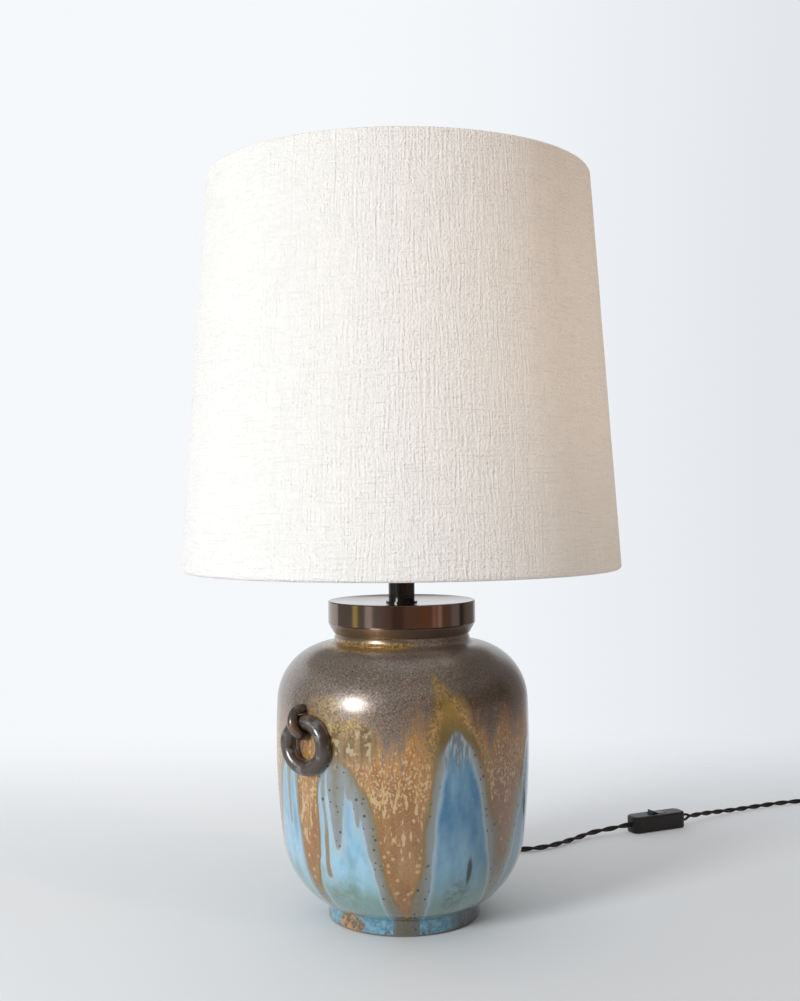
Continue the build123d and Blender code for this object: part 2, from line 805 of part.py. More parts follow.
flex_coil.part.label = "flex_coil"
tell_tube("flex_coil", flex_coil.part, coil_line.wire(), [climb_station])

coil_wire = coil_line.wire()
coil_samples = 900
coil_points = [coil_wire.position_at(n / coil_samples) for n in range(coil_samples + 1)]
skip = int(4 * flex_diameter / coil_wire.length * coil_samples)
least = min(
    (coil_points[n] - coil_points[m]).length
    for n in range(coil_samples + 1)
    for m in range(n + skip, coil_samples + 1)
)
print("flex_coil least gap to itself", round(least - flex_diameter, 2))

# Tie round the coil's left side
tie_inner = (climb_station + stations_out[0]) / 2 - flex_radius - 2.4
tie_outer = (stations_in[1] + stations_in[2]) / 2 + flex_radius + 0.8
tie_middle = (tie_inner + tie_outer) / 2
tie_reach = tie_outer - tie_inner
tie_origin = (coil_x - tie_middle, coil_y, (coil_low + coil_high) / 2)
tie_plane = Plane(origin=tie_origin, x_dir=(1, 0, 0), z_dir=(0, -1, 0))
tie_rise = coil_pitch + flex_diameter + 1.0
with BuildPart() as coil_tie:
    with BuildSketch(tie_plane):
        RectangleRounded(tie_reach + 2 * tie_strap, tie_rise + 2 * tie_strap, 2.5)
        RectangleRounded(tie_reach, tie_rise, 1.5, mode=Mode.SUBTRACT)
    extrude(amount=tie_width / 2, both=True)
coil_tie.part.label = "coil_tie"

# Plug lead and plug
plug_level = plug_thickness / 2
plug_tail = coil_end + Vector(0, -34, plug_level - coil_high)
plug_route = [
    coil_end,
    coil_end + Vector(0, -9, 0),
    coil_end + Vector(0, -18, (plug_level - coil_high) * 0.5),
    coil_end + Vector(0, -26, plug_level - coil_high),
    plug_tail,
]
with BuildPart() as flex_plug_lead:
    with BuildLine() as plug_line:
        FilletPolyline(*plug_route, radius=bend_radii(plug_route))
    with BuildSketch(Plane(origin=plug_line.line @ 0, z_dir=plug_line.line % 0)):
        Circle(flex_radius)
    sweep(path=plug_line.line)
flex_plug_lead.part.label = "flex_plug_lead"
tell_tube("flex_plug_lead", flex_plug_lead.part, plug_line.wire(), bend_radii(plug_route))

plug_plane = Plane(origin=plug_tail, x_dir=(1, 0, 0), z_dir=(0, -1, 0))
plug_neck = plug_length * 0.45
pin_seat = 8.0
with BuildPart() as plug_body:
    with BuildSketch(plug_plane):
        Circle(plug_tail_radius)
    with BuildSketch(plug_plane.offset(plug_neck)):
        RectangleRounded(plug_width * 0.42, plug_thickness - 1, 3.5)
    loft()
    with BuildSketch(plug_plane.offset(plug_neck)):
        RectangleRounded(plug_width * 0.42, plug_thickness - 1, 3.5)
    with BuildSketch(plug_plane.offset(plug_neck + 10)):
        RectangleRounded(plug_width, plug_thickness, 4)
    loft()
    with BuildSketch(plug_plane.offset(plug_neck + 10)):
        RectangleRounded(plug_width, plug_thickness, 4)
    extrude(amount=plug_length - plug_neck - 10)
    with BuildSketch(plug_plane.offset(plug_length)):
        with GridLocations(pin_spacing, 1, 2, 1):
            Circle(pin_diameter / 2 + 0.05)
    extrude(amount=-pin_seat, mode=Mode.SUBTRACT)
plug_body.part.label = "plug_body"

with BuildPart() as plug_pins:
    with BuildSketch(plug_plane.offset(plug_length - pin_seat)):
        with GridLocations(pin_spacing, 1, 2, 1):
            Circle(pin_diameter / 2)
    extrude(amount=pin_seat + pin_length)
    fillet(plug_pins.edges().filter_by(GeomType.CIRCLE).group_by(Axis.Y)[0], 1.6)
plug_pins.part.label = "plug_pins"

os.makedirs("parts", exist_ok=True)
export_step(stoneware_jar.part, "parts/stoneware_jar.step")
export_step(handle_rings.part, "parts/handle_rings.step")
export_step(handle_lugs.part, "parts/handle_lugs.step")
export_step(mouth_cap.part, "parts/mouth_cap.step")
export_step(cap_gasket.part, "parts/cap_gasket.step")
export_step(clamp_bar.part, "parts/clamp_bar.step")
export_step(clamp_washer.part, "parts/clamp_washer.step")
export_step(clamp_nut.part, "parts/clamp_nut.step")
export_step(threaded_tube.part, "parts/threaded_tube.step")
export_step(stem_washer.part, "parts/stem_washer.step")
export_step(stem.part, "parts/stem.step")
export_step(holder_base.part, "parts/holder_base.step")
export_step(holder_insert.part, "parts/holder_insert.step")
export_step(holder_screws.part, "parts/holder_screws.step")
export_step(holder_contact.part, "parts/holder_contact.step")
export_step(holder_shell.part, "parts/holder_shell.step")
export_step(holder_sleeve.part, "parts/holder_sleeve.step")
export_step(shade_ring_nut.part, "parts/shade_ring_nut.step")
export_step(bulb_contact.part, "parts/bulb_contact.step")
export_step(bulb_cap.part, "parts/bulb_cap.step")
export_step(bulb_glass.part, "parts/bulb_glass.step")
export_step(shade_fabric.part, "parts/shade_fabric.step")
export_step(shade_liner.part, "parts/shade_liner.step")
export_step(shade_top_ring.part, "parts/shade_top_ring.step")
export_step(shade_frame.part, "parts/shade_frame.step")
export_step(cord_bush.part, "parts/cord_bush.step")
export_step(bush_nut.part, "parts/bush_nut.step")
export_step(switch_lower.part, "parts/switch_lower.step")
export_step(switch_upper.part, "parts/switch_upper.step")
export_step(switch_rocker.part, "parts/switch_rocker.step")
export_step(switch_screws.part, "parts/switch_screws.step")
export_step(switch_terminals.part, "parts/switch_terminals.step")
export_step(flex_inside.part, "parts/flex_inside.step")
export_step(flex_lamp_side.part, "parts/flex_lamp_side.step")
export_step(flex_floor.part, "parts/flex_floor.step")
export_step(flex_coil.part, "parts/flex_coil.step")
export_step(coil_tie.part, "parts/coil_tie.step")
export_step(flex_plug_lead.part, "parts/flex_plug_lead.step")
export_step(plug_body.part, "parts/plug_body.step")
export_step(plug_pins.part, "parts/plug_pins.step")
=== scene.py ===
from math import asin, atan, atan2, cos, degrees, exp, pi, radians, sin, sqrt

import bmesh
import bpy
from mathutils import Matrix, Vector, noise


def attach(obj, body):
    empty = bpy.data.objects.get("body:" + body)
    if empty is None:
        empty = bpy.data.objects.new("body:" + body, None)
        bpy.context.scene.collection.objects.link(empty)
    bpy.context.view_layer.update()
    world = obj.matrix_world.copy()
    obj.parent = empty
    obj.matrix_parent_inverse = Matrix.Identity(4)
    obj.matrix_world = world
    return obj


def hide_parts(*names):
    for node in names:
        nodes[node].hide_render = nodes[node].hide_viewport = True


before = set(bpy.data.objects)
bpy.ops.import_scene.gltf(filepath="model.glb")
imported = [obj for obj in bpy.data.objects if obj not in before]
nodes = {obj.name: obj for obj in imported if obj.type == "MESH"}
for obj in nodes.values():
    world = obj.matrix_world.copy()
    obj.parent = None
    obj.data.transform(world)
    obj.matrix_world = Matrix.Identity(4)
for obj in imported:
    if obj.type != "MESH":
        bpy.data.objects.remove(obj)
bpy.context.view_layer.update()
scene = bpy.context.scene
scene.view_settings.view_transform = "Standard"

# Camera: it stands a little over a metre in front of the lamp, level with the lower part of the
# shade. It leans by half a degree, as a hand-held one does.
eye = Vector((-0.0007, -1.1528, 0.3806))
gaze_drop = 0.14
camera_lean = -0.5
camera_data = bpy.data.cameras.new("camera")
camera_data.sensor_width = 36.0
camera_data.lens = 45.06
camera = bpy.data.objects.new("camera", camera_data)
gaze_turn = Matrix.Rotation(radians(90 - gaze_drop), 4, "X")
camera.matrix_world = Matrix.Translation(eye) @ gaze_turn @ Matrix.Rotation(radians(camera_lean), 4, "Z")
scene.collection.objects.link(camera)
scene.camera = camera

# Table: a pale matt top with no edge in sight, which only takes the lamp's shadow. It fades into
# the backdrop behind the lamp's axis, and a good way out on its other sides.


def feed(value, socket):
    """Feed a socket from another one, or set it to a plain value or colour."""
    if isinstance(value, bpy.types.NodeSocket):
        socket.id_data.links.new(value, socket)
    elif socket.type == "RGBA":
        socket.default_value = (*value, 1)
    else:
        socket.default_value = value


def put(kind, values, **settings):
    """Put a node with its settings into the tree of the sockets that feed it."""
    sources = [value for value in values.values() if isinstance(value, bpy.types.NodeSocket)]
    made = sources[0].id_data.nodes.new(kind)
    for name, setting in settings.items():
        setattr(made, name, setting)
    for name, value in values.items():
        feed(value, made.inputs[name])
    return made


def parts_of(vector):
    """The X, Y and Z of a vector."""
    return put("ShaderNodeSeparateXYZ", {0: vector}).outputs


def step(value, low, high):
    """A soft step from 0 at low to 1 at high."""
    reach = {"Value": value, "From Min": low, "From Max": high}
    return put("ShaderNodeMapRange", reach, interpolation_type="SMOOTHSTEP").outputs["Result"]


def new_finish(name, values):
    """A material with its shader, set to some values, and the piece's own coordinates."""
    material = bpy.data.materials.new(name)
    material.use_nodes = True
    tree = material.node_tree
    tree.nodes.clear()
    shader = tree.nodes.new("ShaderNodeBsdfPrincipled")
    for socket, value in values.items():
        feed(value, shader.inputs[socket])
    feed(shader.outputs["BSDF"], tree.nodes.new("ShaderNodeOutputMaterial").inputs["Surface"])
    return material, shader.inputs, tree.nodes.new("ShaderNodeTexCoord").outputs["Object"]


def mingle(share, first, second):
    """Two colours, by the share of the second."""
    return put("ShaderNodeMix", {0: share, 6: first, 7: second}, data_type="RGBA").outputs[2]


def work(operation, *values):
    """One step of arithmetic on values or sockets."""
    return put("ShaderNodeMath", dict(enumerate(values)), operation=operation).outputs[0]


def times(product, *values):
    """Product of several values or sockets."""
    for value in values:
        product = work("MULTIPLY", product, value)
    return product


def backdrop_rays(tree, where_mirrored=1.0):
    """1 for the camera's rays, and for mirrored and refracted ones where they count."""
    rays = tree.nodes.new("ShaderNodeLightPath").outputs
    mirrored = work("MAXIMUM", rays["Is Glossy Ray"], rays["Is Transmission Ray"])
    return work("MAXIMUM", rays["Is Camera Ray"], times(mirrored, where_mirrored))


def new_mesh(bm, name):
    """Make a mesh of what was drawn."""
    mesh = bpy.data.meshes.new(name)
    bm.to_mesh(mesh)
    bm.free()
    return mesh


table_radius = 4.0
table_drop = 0.0004
fade_start = 0.62
fade_end = 1.6
back_fade_end = 0.9
bm = bmesh.new()
bmesh.ops.create_circle(bm, cap_ends=True, radius=table_radius, segments=64)
table_mesh = new_mesh(bm, "table")
table_paint, shader, where = new_finish("table_paint", {"Roughness": 0.85, "Specular IOR Level": 0.2})
tree = table_paint.node_tree
seen = backdrop_rays(tree)
feed(mingle(seen, (0.74, 0.75, 0.77), (0.96, 0.98, 1.0)), shader["Base Color"])
away = put("ShaderNodeVectorMath", {0: where}, operation="LENGTH").outputs["Value"]
gone = step(away, fade_start, fade_end)
gone = work("MAXIMUM", gone, step(parts_of(where)["Y"], 0.0, back_fade_end))
fade = put("ShaderNodeMixShader", {0: gone})
feed(tree.nodes["Principled BSDF"].outputs["BSDF"], fade.inputs[1])
feed(tree.nodes.new("ShaderNodeBsdfTransparent").outputs["BSDF"], fade.inputs[2])
feed(fade.outputs["Shader"], tree.nodes["Material Output"].inputs["Surface"])
table_mesh.materials.append(table_paint)
table = bpy.data.objects.new("table", table_mesh)
table.location.z = -table_drop
scene.collection.objects.link(table)

# Light: one window in front on the left and a warm bounce onto the shade from the right. The room
# is white at the back and dark behind the camera, with a few lit strips low down.


def new_lamp(name, kind, place, aim, energy, colour):
    """A lamp of the studio at its place, turned to what it lights."""
    lamp_data = bpy.data.lights.new(name, kind)
    lamp_data.energy = energy
    lamp_data.color = colour
    lamp = bpy.data.objects.new(name, lamp_data)
    lamp.location = place
    lamp.rotation_euler = (Vector(aim) - Vector(place)).to_track_quat("-Z", "Y").to_euler()
    scene.collection.objects.link(lamp)
    return lamp


def less(value, taken):
    """A value with another taken away."""
    return work("SUBTRACT", value, taken)


def angle_round(spot):
    """Angle of a spot round the lamp's axis, from the front to the right."""
    return work("ARCTAN2", spot["X"], times(spot["Y"], -1.0))


window = new_lamp("window", "AREA", (-1.78, -1.79, 0.86), (0, 0, 0.33), 46.5, (0.97, 0.985, 1.0))
window.data.shape = "ELLIPSE"
window.data.size = 0.68
window.data.size_y = 0.9
bounce = new_lamp("warm_bounce", "SPOT", (1.75, -1.15, 0.90), (0.10, 0, 0.50), 65.0, (1.0, 0.78, 0.58))
bounce.data.spot_size = radians(21)
bounce.data.spot_blend = 0.5
bounce.data.shadow_soft_size = 0.25
bounce.visible_glossy = False
room = bpy.data.worlds.new("room")
room.use_nodes = True
tree = room.node_tree
tree.nodes.clear()
gaze = parts_of(tree.nodes.new("ShaderNodeTexCoord").outputs["Generated"])
front = mingle(step(gaze["X"], -0.6, 0.6), (0.33, 0.33, 0.33), (0.06, 0.05, 0.045))
bearing = times(angle_round(gaze), 180 / pi)
strips = mingle(step(bearing, -40.0, -12.0), (0.29, 0.28, 0.27), (0.25, 0.155, 0.125))
# Strips: middle and half width, in degrees round from the front, and colour
strip_blur = 3.0
for middle, half, colour in (
    (-77.0, 4.7, (1.0, 0.90, 0.30)),
    (-52.5, 6.2, (0.85, 0.81, 0.83)),
    (-6.0, 9.0, (0.15, 0.095, 0.08)),
    (36.0, 10.0, (0.31, 0.155, 0.095)),
    (51.0, 2.5, (0.65, 0.37, 0.27)),
    (60.5, 3.5, (0.72, 0.48, 0.40)),
    (92.0, 9.0, (0.33, 0.32, 0.33)),
    (106.0, 5.0, (0.05, 0.07, 0.07)),
):
    aside = work("ABSOLUTE", less(bearing, middle))
    strips = mingle(step(aside, half + strip_blur, half - strip_blur), strips, colour)
walls = mingle(step(gaze["Z"], 0.09, 0.02), front, strips)
backdrop = mingle(step(gaze["X"], -0.05, 0.4), (0.92, 0.94, 0.97), (0.74, 0.765, 0.80))
backdrop = mingle(step(gaze["X"], 0.32, 0.6), backdrop, (0.24, 0.235, 0.23))
behind = step(gaze["Y"], 0.45, 0.49)
walls = mingle(behind, walls, backdrop)
walls = mingle(step(gaze["Z"], 0.25, 0.9), walls, (0.55, 0.55, 0.55))
seen = backdrop_rays(tree, behind)
shine = put("ShaderNodeBackground", {"Color": mingle(seen, walls, backdrop), "Strength": 1.0})
feed(shine.outputs["Background"], tree.nodes.new("ShaderNodeOutputWorld").inputs["Surface"])
scene.world = room

# Flex: two insulated cores under braided dark brown cotton, twisted round each other. One length
# runs from the bush at the back of the jar to the switch, the other from the switch to the plug.


def plus(total, *values):
    """Sum of several values or sockets."""
    for value in values:
        total = work("ADD", total, value)
    return total


def cloud(where, scale, detail=2.0, roughness=0.5):
    """Soft noise from 0 to 1."""
    values = {"Vector": where, "Scale": scale, "Detail": detail, "Roughness": roughness}
    return put("ShaderNodeTexNoise", values).outputs["Fac"]


def relief(height, depth):
    """A normal from a height of 0 to 1 that stands for the given depth in metres."""
    return put("ShaderNodeBump", {"Height": height, "Distance": depth}).outputs["Normal"]


def new_piece(name, mesh, finish, body):
    """A finished piece at the origin that rides on a body."""
    piece = bpy.data.objects.new(name, mesh)
    scene.collection.objects.link(piece)
    mesh.materials.clear()
    mesh.materials.append(finish)
    mesh.shade_smooth()
    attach(piece, body)
    return piece


def dress(finish, *names):
    """Give CAD nodes a finish."""
    for name in names:
        nodes[name].data.materials.clear()
        nodes[name].data.materials.append(finish)


core_radius = 0.0014
twist = 0.041
floor_level = 0.0029
lamp_side_route = [
    (0, 0.12106, 0.03465),
    (0, 0.14312, 0.02288),
    (0.008, 0.170, 0.0118),
    (0.026, 0.186, 0.0050),
    (0.052, 0.191, floor_level),
    (0.079, 0.1885, floor_level),
    (0.105, 0.1855, floor_level),
    (0.130, 0.187, floor_level),
    (0.154, 0.196, floor_level),
    (0.175, 0.2135, floor_level),
    (0.194, 0.231, 0.0034),
    (0.211, 0.245, 0.0052),
    (0.23518, 0.25207, 0.0074),
    (0.24975, 0.25808, 0.0090),
    (0.26068, 0.26304, 0.0090),
]
plug_side_route = [
    (0.31532, 0.28789, 0.0090),
    (0.32898, 0.29409, 0.0090),
    (0.348, 0.311, 0.0078),
    (0.370, 0.329, 0.0052),
    (0.396, 0.3455, 0.0034),
    (0.425, 0.362, floor_level),
    (0.456, 0.377, floor_level),
    (0.487, 0.3865, 0.0032),
    (0.5154, 0.3893, 0.0044),
]
# The spare length lies in a coil of two layers: in on the table, up a layer, and out on top
coil_middle = Vector((0.545, 0.349, 0))
coil_outer = 0.0403
coil_inner = 0.0186
coil_pitch = 0.0062
coil_low = 0.0044
turns_inward = 3.5
turns_in_all = 6.25
points_in_turn = 16
# The points that steer a turn lie a little outside it
steer_reach = 1 / 0.981
for n in range(int(turns_in_all * points_in_turn) + 1):
    turns = n / points_in_turn
    back_out = turns - turns_inward
    if back_out <= 0:
        radius = coil_outer - coil_pitch * turns
    elif back_out < 0.5:
        radius = coil_inner + 2 * coil_pitch * back_out
    else:
        radius = coil_inner + coil_pitch * (back_out + 0.5)
    height = coil_low + coil_pitch * min(max((back_out + 0.5) * 2, 0), 1)
    spoke = Vector((sin(turns * 2 * pi), cos(turns * 2 * pi), 0)) * radius * steer_reach
    plug_side_route.append(tuple(coil_middle + spoke + Vector((0, 0, height))))
plug_side_route += [
    (0.58375, 0.3345, 0.0106),
    (0.58375, 0.32385, 0.0087),
    (0.58375, 0.31585, 0.00685),
    (0.58375, 0.30785, 0.00685),
]


def new_curve(name):
    """An empty line in space."""
    curve = bpy.data.curves.new(name, "CURVE")
    curve.dimensions = "3D"
    return curve


def curve_mesh(curve):
    """The mesh of a curve, in place of the curve itself."""
    holder = bpy.data.objects.new(curve.name, curve)
    scene.collection.objects.link(holder)
    mesh = bpy.data.meshes.new_from_object(holder)
    bpy.data.objects.remove(holder)
    bpy.data.curves.remove(curve)
    return mesh


end_slack = 0.0002


def spline_points(name, route):
    """Points along the smooth line that a route's points steer."""
    curve = new_curve(name)
    spline = curve.splines.new("NURBS")
    spline.points.add(len(route) - 1)
    for point, place in zip(spline.points, route):
        point.co = (*place, 1)
    spline.order_u = 3
    spline.use_endpoint_u = True
    spline.resolution_u = 12
    mesh = curve_mesh(curve)
    line = [vertex.co.copy() for vertex in mesh.vertices]
    bpy.data.meshes.remove(mesh)
    if (line[-1] - Vector(route[-1])).length > end_slack:
        line.append(Vector(route[-1]))
    return line


# Just past the switch the two cores stand apart and leave a gap
gap_at = 0.0115
gap_reach = 0.0045
gap_half = 0.0016
mm_in_metre = 1000.0


def twisted_pair(name, line, phase, gap=0.0):
    """Two cores wound round a line. Where a gap opens between them they stand further apart."""
    cores = new_curve(name)
    cores.bevel_depth = core_radius
    cores.bevel_resolution = 3
    cores.use_fill_caps = True
    strands = []
    for core in range(2):
        spline = cores.splines.new("POLY")
        spline.points.add(len(line) - 1)
        strands.append(spline.points)
    run = 0.0
    normal = Vector((0, 0, 1))
    for n, here in enumerate(line):
        ahead = (line[min(n + 1, len(line) - 1)] - line[max(n - 1, 0)]).normalized()
        normal = (normal - ahead * normal.dot(ahead)).normalized()
        aside = ahead.cross(normal)
        if n:
            run += (here - line[n - 1]).length
        apart = core_radius + gap * exp(-(((run - gap_at) / gap_reach) ** 2))
        for core, points in enumerate(strands):
            turn = phase + 2 * pi * run / twist + core * pi
            points[n].co = (*(here + (normal * cos(turn) + aside * sin(turn)) * apart), 1)
    mesh = curve_mesh(cores)
    mesh.name = name
    for loop in mesh.uv_layers[0].data:
        loop.uv.x *= run * mm_in_metre
    return mesh


# The braid's threads cross in waves: their number round a core, and their length in millimetres
waves_round = 8.8
wave_length = 1.3
braid, shader, where = new_finish(
    "braided_cotton",
    {"Roughness": 0.72, "Sheen Weight": 0.2, "Sheen Roughness": 0.5, "Specular IOR Level": 0.3},
)
along = parts_of(braid.node_tree.nodes.new("ShaderNodeTexCoord").outputs["UV"])
threads = []
for lean in (waves_round, -waves_round):
    slant = plus(times(along["Y"], lean * 2 * pi), times(along["X"], 2 * pi / wave_length))
    threads.append(work("ABSOLUTE", work("SINE", slant)))
tone = times(plus(times(*threads), cloud(where, 900.0, 3.0, 0.7)), 0.5)
feed(mingle(tone, (0.012, 0.009, 0.008), (0.055, 0.037, 0.027)), shader["Base Color"])
feed(relief(tone, 0.0003), shader["Normal"])

lamp_side_line = spline_points("lamp_side_line", lamp_side_route)
lamp_side_phase = 0.4
lamp_side_mesh = twisted_pair("flex_to_switch", lamp_side_line, lamp_side_phase)
flex_to_switch = new_piece("flex_to_switch", lamp_side_mesh, braid, "base")
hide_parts("flex_lamp_side")
plug_side_line = spline_points("plug_side_line", plug_side_route)
plug_side_phase = -2 * pi * gap_at / twist
plug_side_mesh = twisted_pair("flex_to_plug", plug_side_line, plug_side_phase, gap_half)
flex_to_plug = new_piece("flex_to_plug", plug_side_mesh, braid, "base")
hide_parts("flex_floor", "flex_coil", "flex_plug_lead")
dress(braid, "flex_inside")

# Jar: thrown stoneware on a turned foot ring, dipped in a pale blue glaze. A dark iron glaze was
# poured over the shoulder, ran down in tongues and left blue panels between them.


def only(kind, parts):
    """The parts of a drawing that are of one kind, such as its corners."""
    return [part for part in parts if isinstance(part, kind)]


def pen(bm, corner):
    """Begin an outline at (out from the axis, up)."""
    return bm.verts.new((corner[0], 0, corner[1]))


def line_to(bm, last, corner, pieces=1):
    """Draw an outline straight on to a corner."""
    start = last.co.copy()
    goal = Vector((corner[0], 0, corner[1]))
    for n in range(pieces):
        last = bmesh.ops.extrude_vert_indiv(bm, verts=[last])["verts"][0]
        last.co = start.lerp(goal, (n + 1) / pieces)
    return last


def arc_about(bm, last, centre, turn, pieces):
    """Draw an outline on round a centre by some degrees, counted from outwards to upwards."""
    middle = (centre[0], 0, centre[1])
    made = bmesh.ops.spin(bm, geom=[last], cent=middle, axis=(0, 1, 0), angle=radians(-turn), steps=pieces)
    return only(bmesh.types.BMVert, made["geom_last"])[0]


def spun(bm, segments):
    """Turn a drawn outline once round the upright axis and close it."""
    outline = bm.verts[:] + bm.edges[:]
    up = (0, 0, 1)
    bmesh.ops.spin(bm, geom=outline, cent=(0, 0, 0), axis=up, angle=2 * pi, steps=segments, use_merge=True)
    bmesh.ops.remove_doubles(bm, verts=bm.verts[:], dist=0.00001)
    bmesh.ops.recalc_face_normals(bm, faces=bm.faces[:])


foot_radius = 0.0695
foot_height = 0.0155
foot_land = 0.011
foot_recess = 0.007
foot_edge = 0.0016
recess_slope = 0.002
land_edge = 0.0012
crease_low = 0.0015
crease_high = 0.0004
crease_out = 0.0006
belly_radius = 0.1156
belly_level = 0.1603
side_bow = 0.700
base_bow = 0.0748
base_bow_level = 0.0802
shoulder_bow = 0.0530
shoulder_bow_level = 0.1958
shoulder_end = 84
neck_cove = 0.006
neck_radius = 0.060
neck_start = 0.004
neck_top = 0.2775
neck_bore = 0.052
wall = 0.007
side_middle = belly_radius - side_bow
base_out = side_middle + sqrt((side_bow - base_bow) ** 2 - (base_bow_level - belly_level) ** 2)
shoulder_out = side_middle + sqrt((side_bow - shoulder_bow) ** 2 - (shoulder_bow_level - belly_level) ** 2)
base_turn = degrees(atan2(base_bow_level - belly_level, base_out - side_middle))
shoulder_turn = degrees(atan2(shoulder_bow_level - belly_level, shoulder_out - side_middle))
foot_turn = degrees(asin((foot_height - base_bow_level) / base_bow))
cove_out = shoulder_out + (shoulder_bow + neck_cove) * cos(radians(shoulder_end))
cove_level = shoulder_bow_level + (shoulder_bow + neck_cove) * sin(radians(shoulder_end))
underside = shoulder_bow_level + shoulder_bow - wall
land_inside = foot_radius - foot_land

bm = bmesh.new()
tip = pen(bm, (0, foot_recess))
tip = line_to(bm, tip, (land_inside - recess_slope, foot_recess), 10)
tip = line_to(bm, tip, (land_inside, land_edge), 2)
tip = line_to(bm, tip, (land_inside + land_edge, 0), 1)
tip = line_to(bm, tip, (foot_radius - foot_edge, 0), 3)
tip = arc_about(bm, tip, (foot_radius - foot_edge, foot_edge), 90, 6)
tip = line_to(bm, tip, (foot_radius, foot_height - crease_low), 8)
tip = line_to(bm, tip, (foot_radius + crease_out, foot_height - crease_high), 2)
tip = line_to(bm, tip, (base_out + base_bow * cos(radians(foot_turn)), foot_height), 2)
tip = arc_about(bm, tip, (base_out, base_bow_level), base_turn - foot_turn, 44)
tip = arc_about(bm, tip, (side_middle, belly_level), shoulder_turn - base_turn, 64)
tip = arc_about(bm, tip, (shoulder_out, shoulder_bow_level), shoulder_end - shoulder_turn, 40)
tip = arc_about(bm, tip, (cove_out, cove_level), -shoulder_end, 12)
tip = line_to(bm, tip, (neck_radius, cove_level + neck_start), 2)
tip = line_to(bm, tip, (neck_radius, neck_top), 4)
tip = line_to(bm, tip, (neck_bore, neck_top), 2)
tip = line_to(bm, tip, (neck_bore, underside), 4)
tip = line_to(bm, tip, (shoulder_out, underside), 2)
tip = arc_about(bm, tip, (shoulder_out, shoulder_bow_level), shoulder_turn - 90, 16)
tip = arc_about(bm, tip, (side_middle, belly_level), base_turn - shoulder_turn, 24)
tip = arc_about(bm, tip, (base_out, base_bow_level), -90 - base_turn, 20)
tip = line_to(bm, tip, (0, tip.co.z), 6)
spun(bm, 224)
jar_mesh = new_mesh(bm, "jar")


def new_group(name, takes, gives):
    """An empty node group with named number sockets."""
    group = bpy.data.node_groups.new(name, "ShaderNodeTree")
    for socket in takes:
        group.interface.new_socket(socket, in_out="INPUT", socket_type="NodeSocketFloat")
    for socket in gives:
        group.interface.new_socket(socket, in_out="OUTPUT", socket_type="NodeSocketFloat")
    return group, group.nodes.new("NodeGroupInput").outputs, group.nodes.new("NodeGroupOutput").inputs


def between(share, first, second):
    """A number between two others, by the share of the second."""
    return put("ShaderNodeMix", {0: share, 2: first, 3: second}, data_type="FLOAT").outputs[0]


def part_way(value, low, high):
    """How far a value has come from low to high, kept within 0 and 1."""
    way = work("DIVIDE", less(value, low), less(high, low))
    return work("MINIMUM", work("MAXIMUM", way, 0.0), 1.0)


def length_of(across, up):
    """Length of a step across and up."""
    return work("SQRT", plus(times(across, across), times(up, up)))


def turn_between(around, middle):
    """Degrees from a middle to a place round the jar, by the short way."""
    return work("WRAP", less(around, middle), 180.0, -180.0)


# The glaze counts degrees round from the front and millimetres up from the table
mm_in_degree = 2.0
foot_top = foot_height * mm_in_metre

# How far a spot lies outside an arched panel, in millimetres, below zero inside it
panel_group, takes, gives = new_group(
    "glaze_panel",
    ["Around", "Level", "Foot middle", "Apex middle", "Foot half", "Apex half", "Apex level"],
    ["Outside"],
)
panel_foot = 20.0
rise = part_way(takes["Level"], panel_foot, takes["Apex level"])
middle = between(rise, takes["Foot middle"], takes["Apex middle"])
half = between(rise, takes["Foot half"], takes["Apex half"])
half = times(half, work("SQRT", less(1.0, work("POWER", rise, 7.0))))
beside = work("ABSOLUTE", turn_between(takes["Around"], middle))
beside = times(less(beside, half), mm_in_degree)
above = times(less(takes["Level"], takes["Apex level"]), 0.75)
far = length_of(work("MAXIMUM", beside, 0.0), work("MAXIMUM", above, 0.0))
within = work("MINIMUM", work("MAXIMUM", beside, above), 0.0)
feed(plus(far, within), gives["Outside"])

# How far a spot lies inside a drip that hangs into a panel, in millimetres
drip_group, takes, gives = new_group(
    "glaze_drip", ["Around", "Level", "Middle", "Tip", "Root", "Tip half", "Root half"], ["Inside"]
)
rise = part_way(takes["Level"], takes["Tip"], takes["Root"])
half = between(rise, takes["Tip half"], takes["Root half"])
beside = work("ABSOLUTE", turn_between(takes["Around"], takes["Middle"]))
side = times(less(half, beside), mm_in_degree)
above = times(less(takes["Level"], takes["Tip"]), 0.5)
feed(work("SMOOTH_MIN", side, above, 3.5), gives["Inside"])

# A blot of glaze: 1 in its middle, 0 outside its half width and half height
blot_group, takes, gives = new_group(
    "glaze_blot", ["Around", "Level", "Middle", "Height", "Half width", "Half height"], ["Blot"]
)
across = work("DIVIDE", turn_between(takes["Around"], takes["Middle"]), takes["Half width"])
up = work("DIVIDE", less(takes["Level"], takes["Height"]), takes["Half height"])
feed(step(length_of(across, up), 1.0, 0.45), gives["Blot"])


def placed(group, *values):
    """One of the glaze's shapes at its place on the jar."""
    return put("ShaderNodeGroup", dict(enumerate(values)), node_tree=group).outputs[0]


def stretched(where, along):
    """Coordinates squeezed or drawn out along each axis."""
    return put("ShaderNodeMapping", {"Vector": where, "Scale": along}).outputs["Vector"]


def swing(wave, reach):
    """Noise of 0 to 1 turned into a wander to both sides."""
    return times(less(wave, 0.5), reach)


def flat_place(across, up):
    """Coordinates on a wall that is rolled out flat."""
    return put("ShaderNodeCombineXYZ", {"X": across, "Y": up}).outputs["Vector"]


def dots(where, scale):
    """How far the next of some scattered dots is, and its chance numbers."""
    values = {"Vector": where, "Scale": scale}
    found = put("ShaderNodeTexVoronoi", values, voronoi_dimensions="2D").outputs
    return found["Distance"], put("ShaderNodeSeparateColor", {0: found["Color"]}).outputs


def over(under, colour, *shares):
    """Lay a colour over another by the product of some shares."""
    return mingle(times(*shares), under, colour)


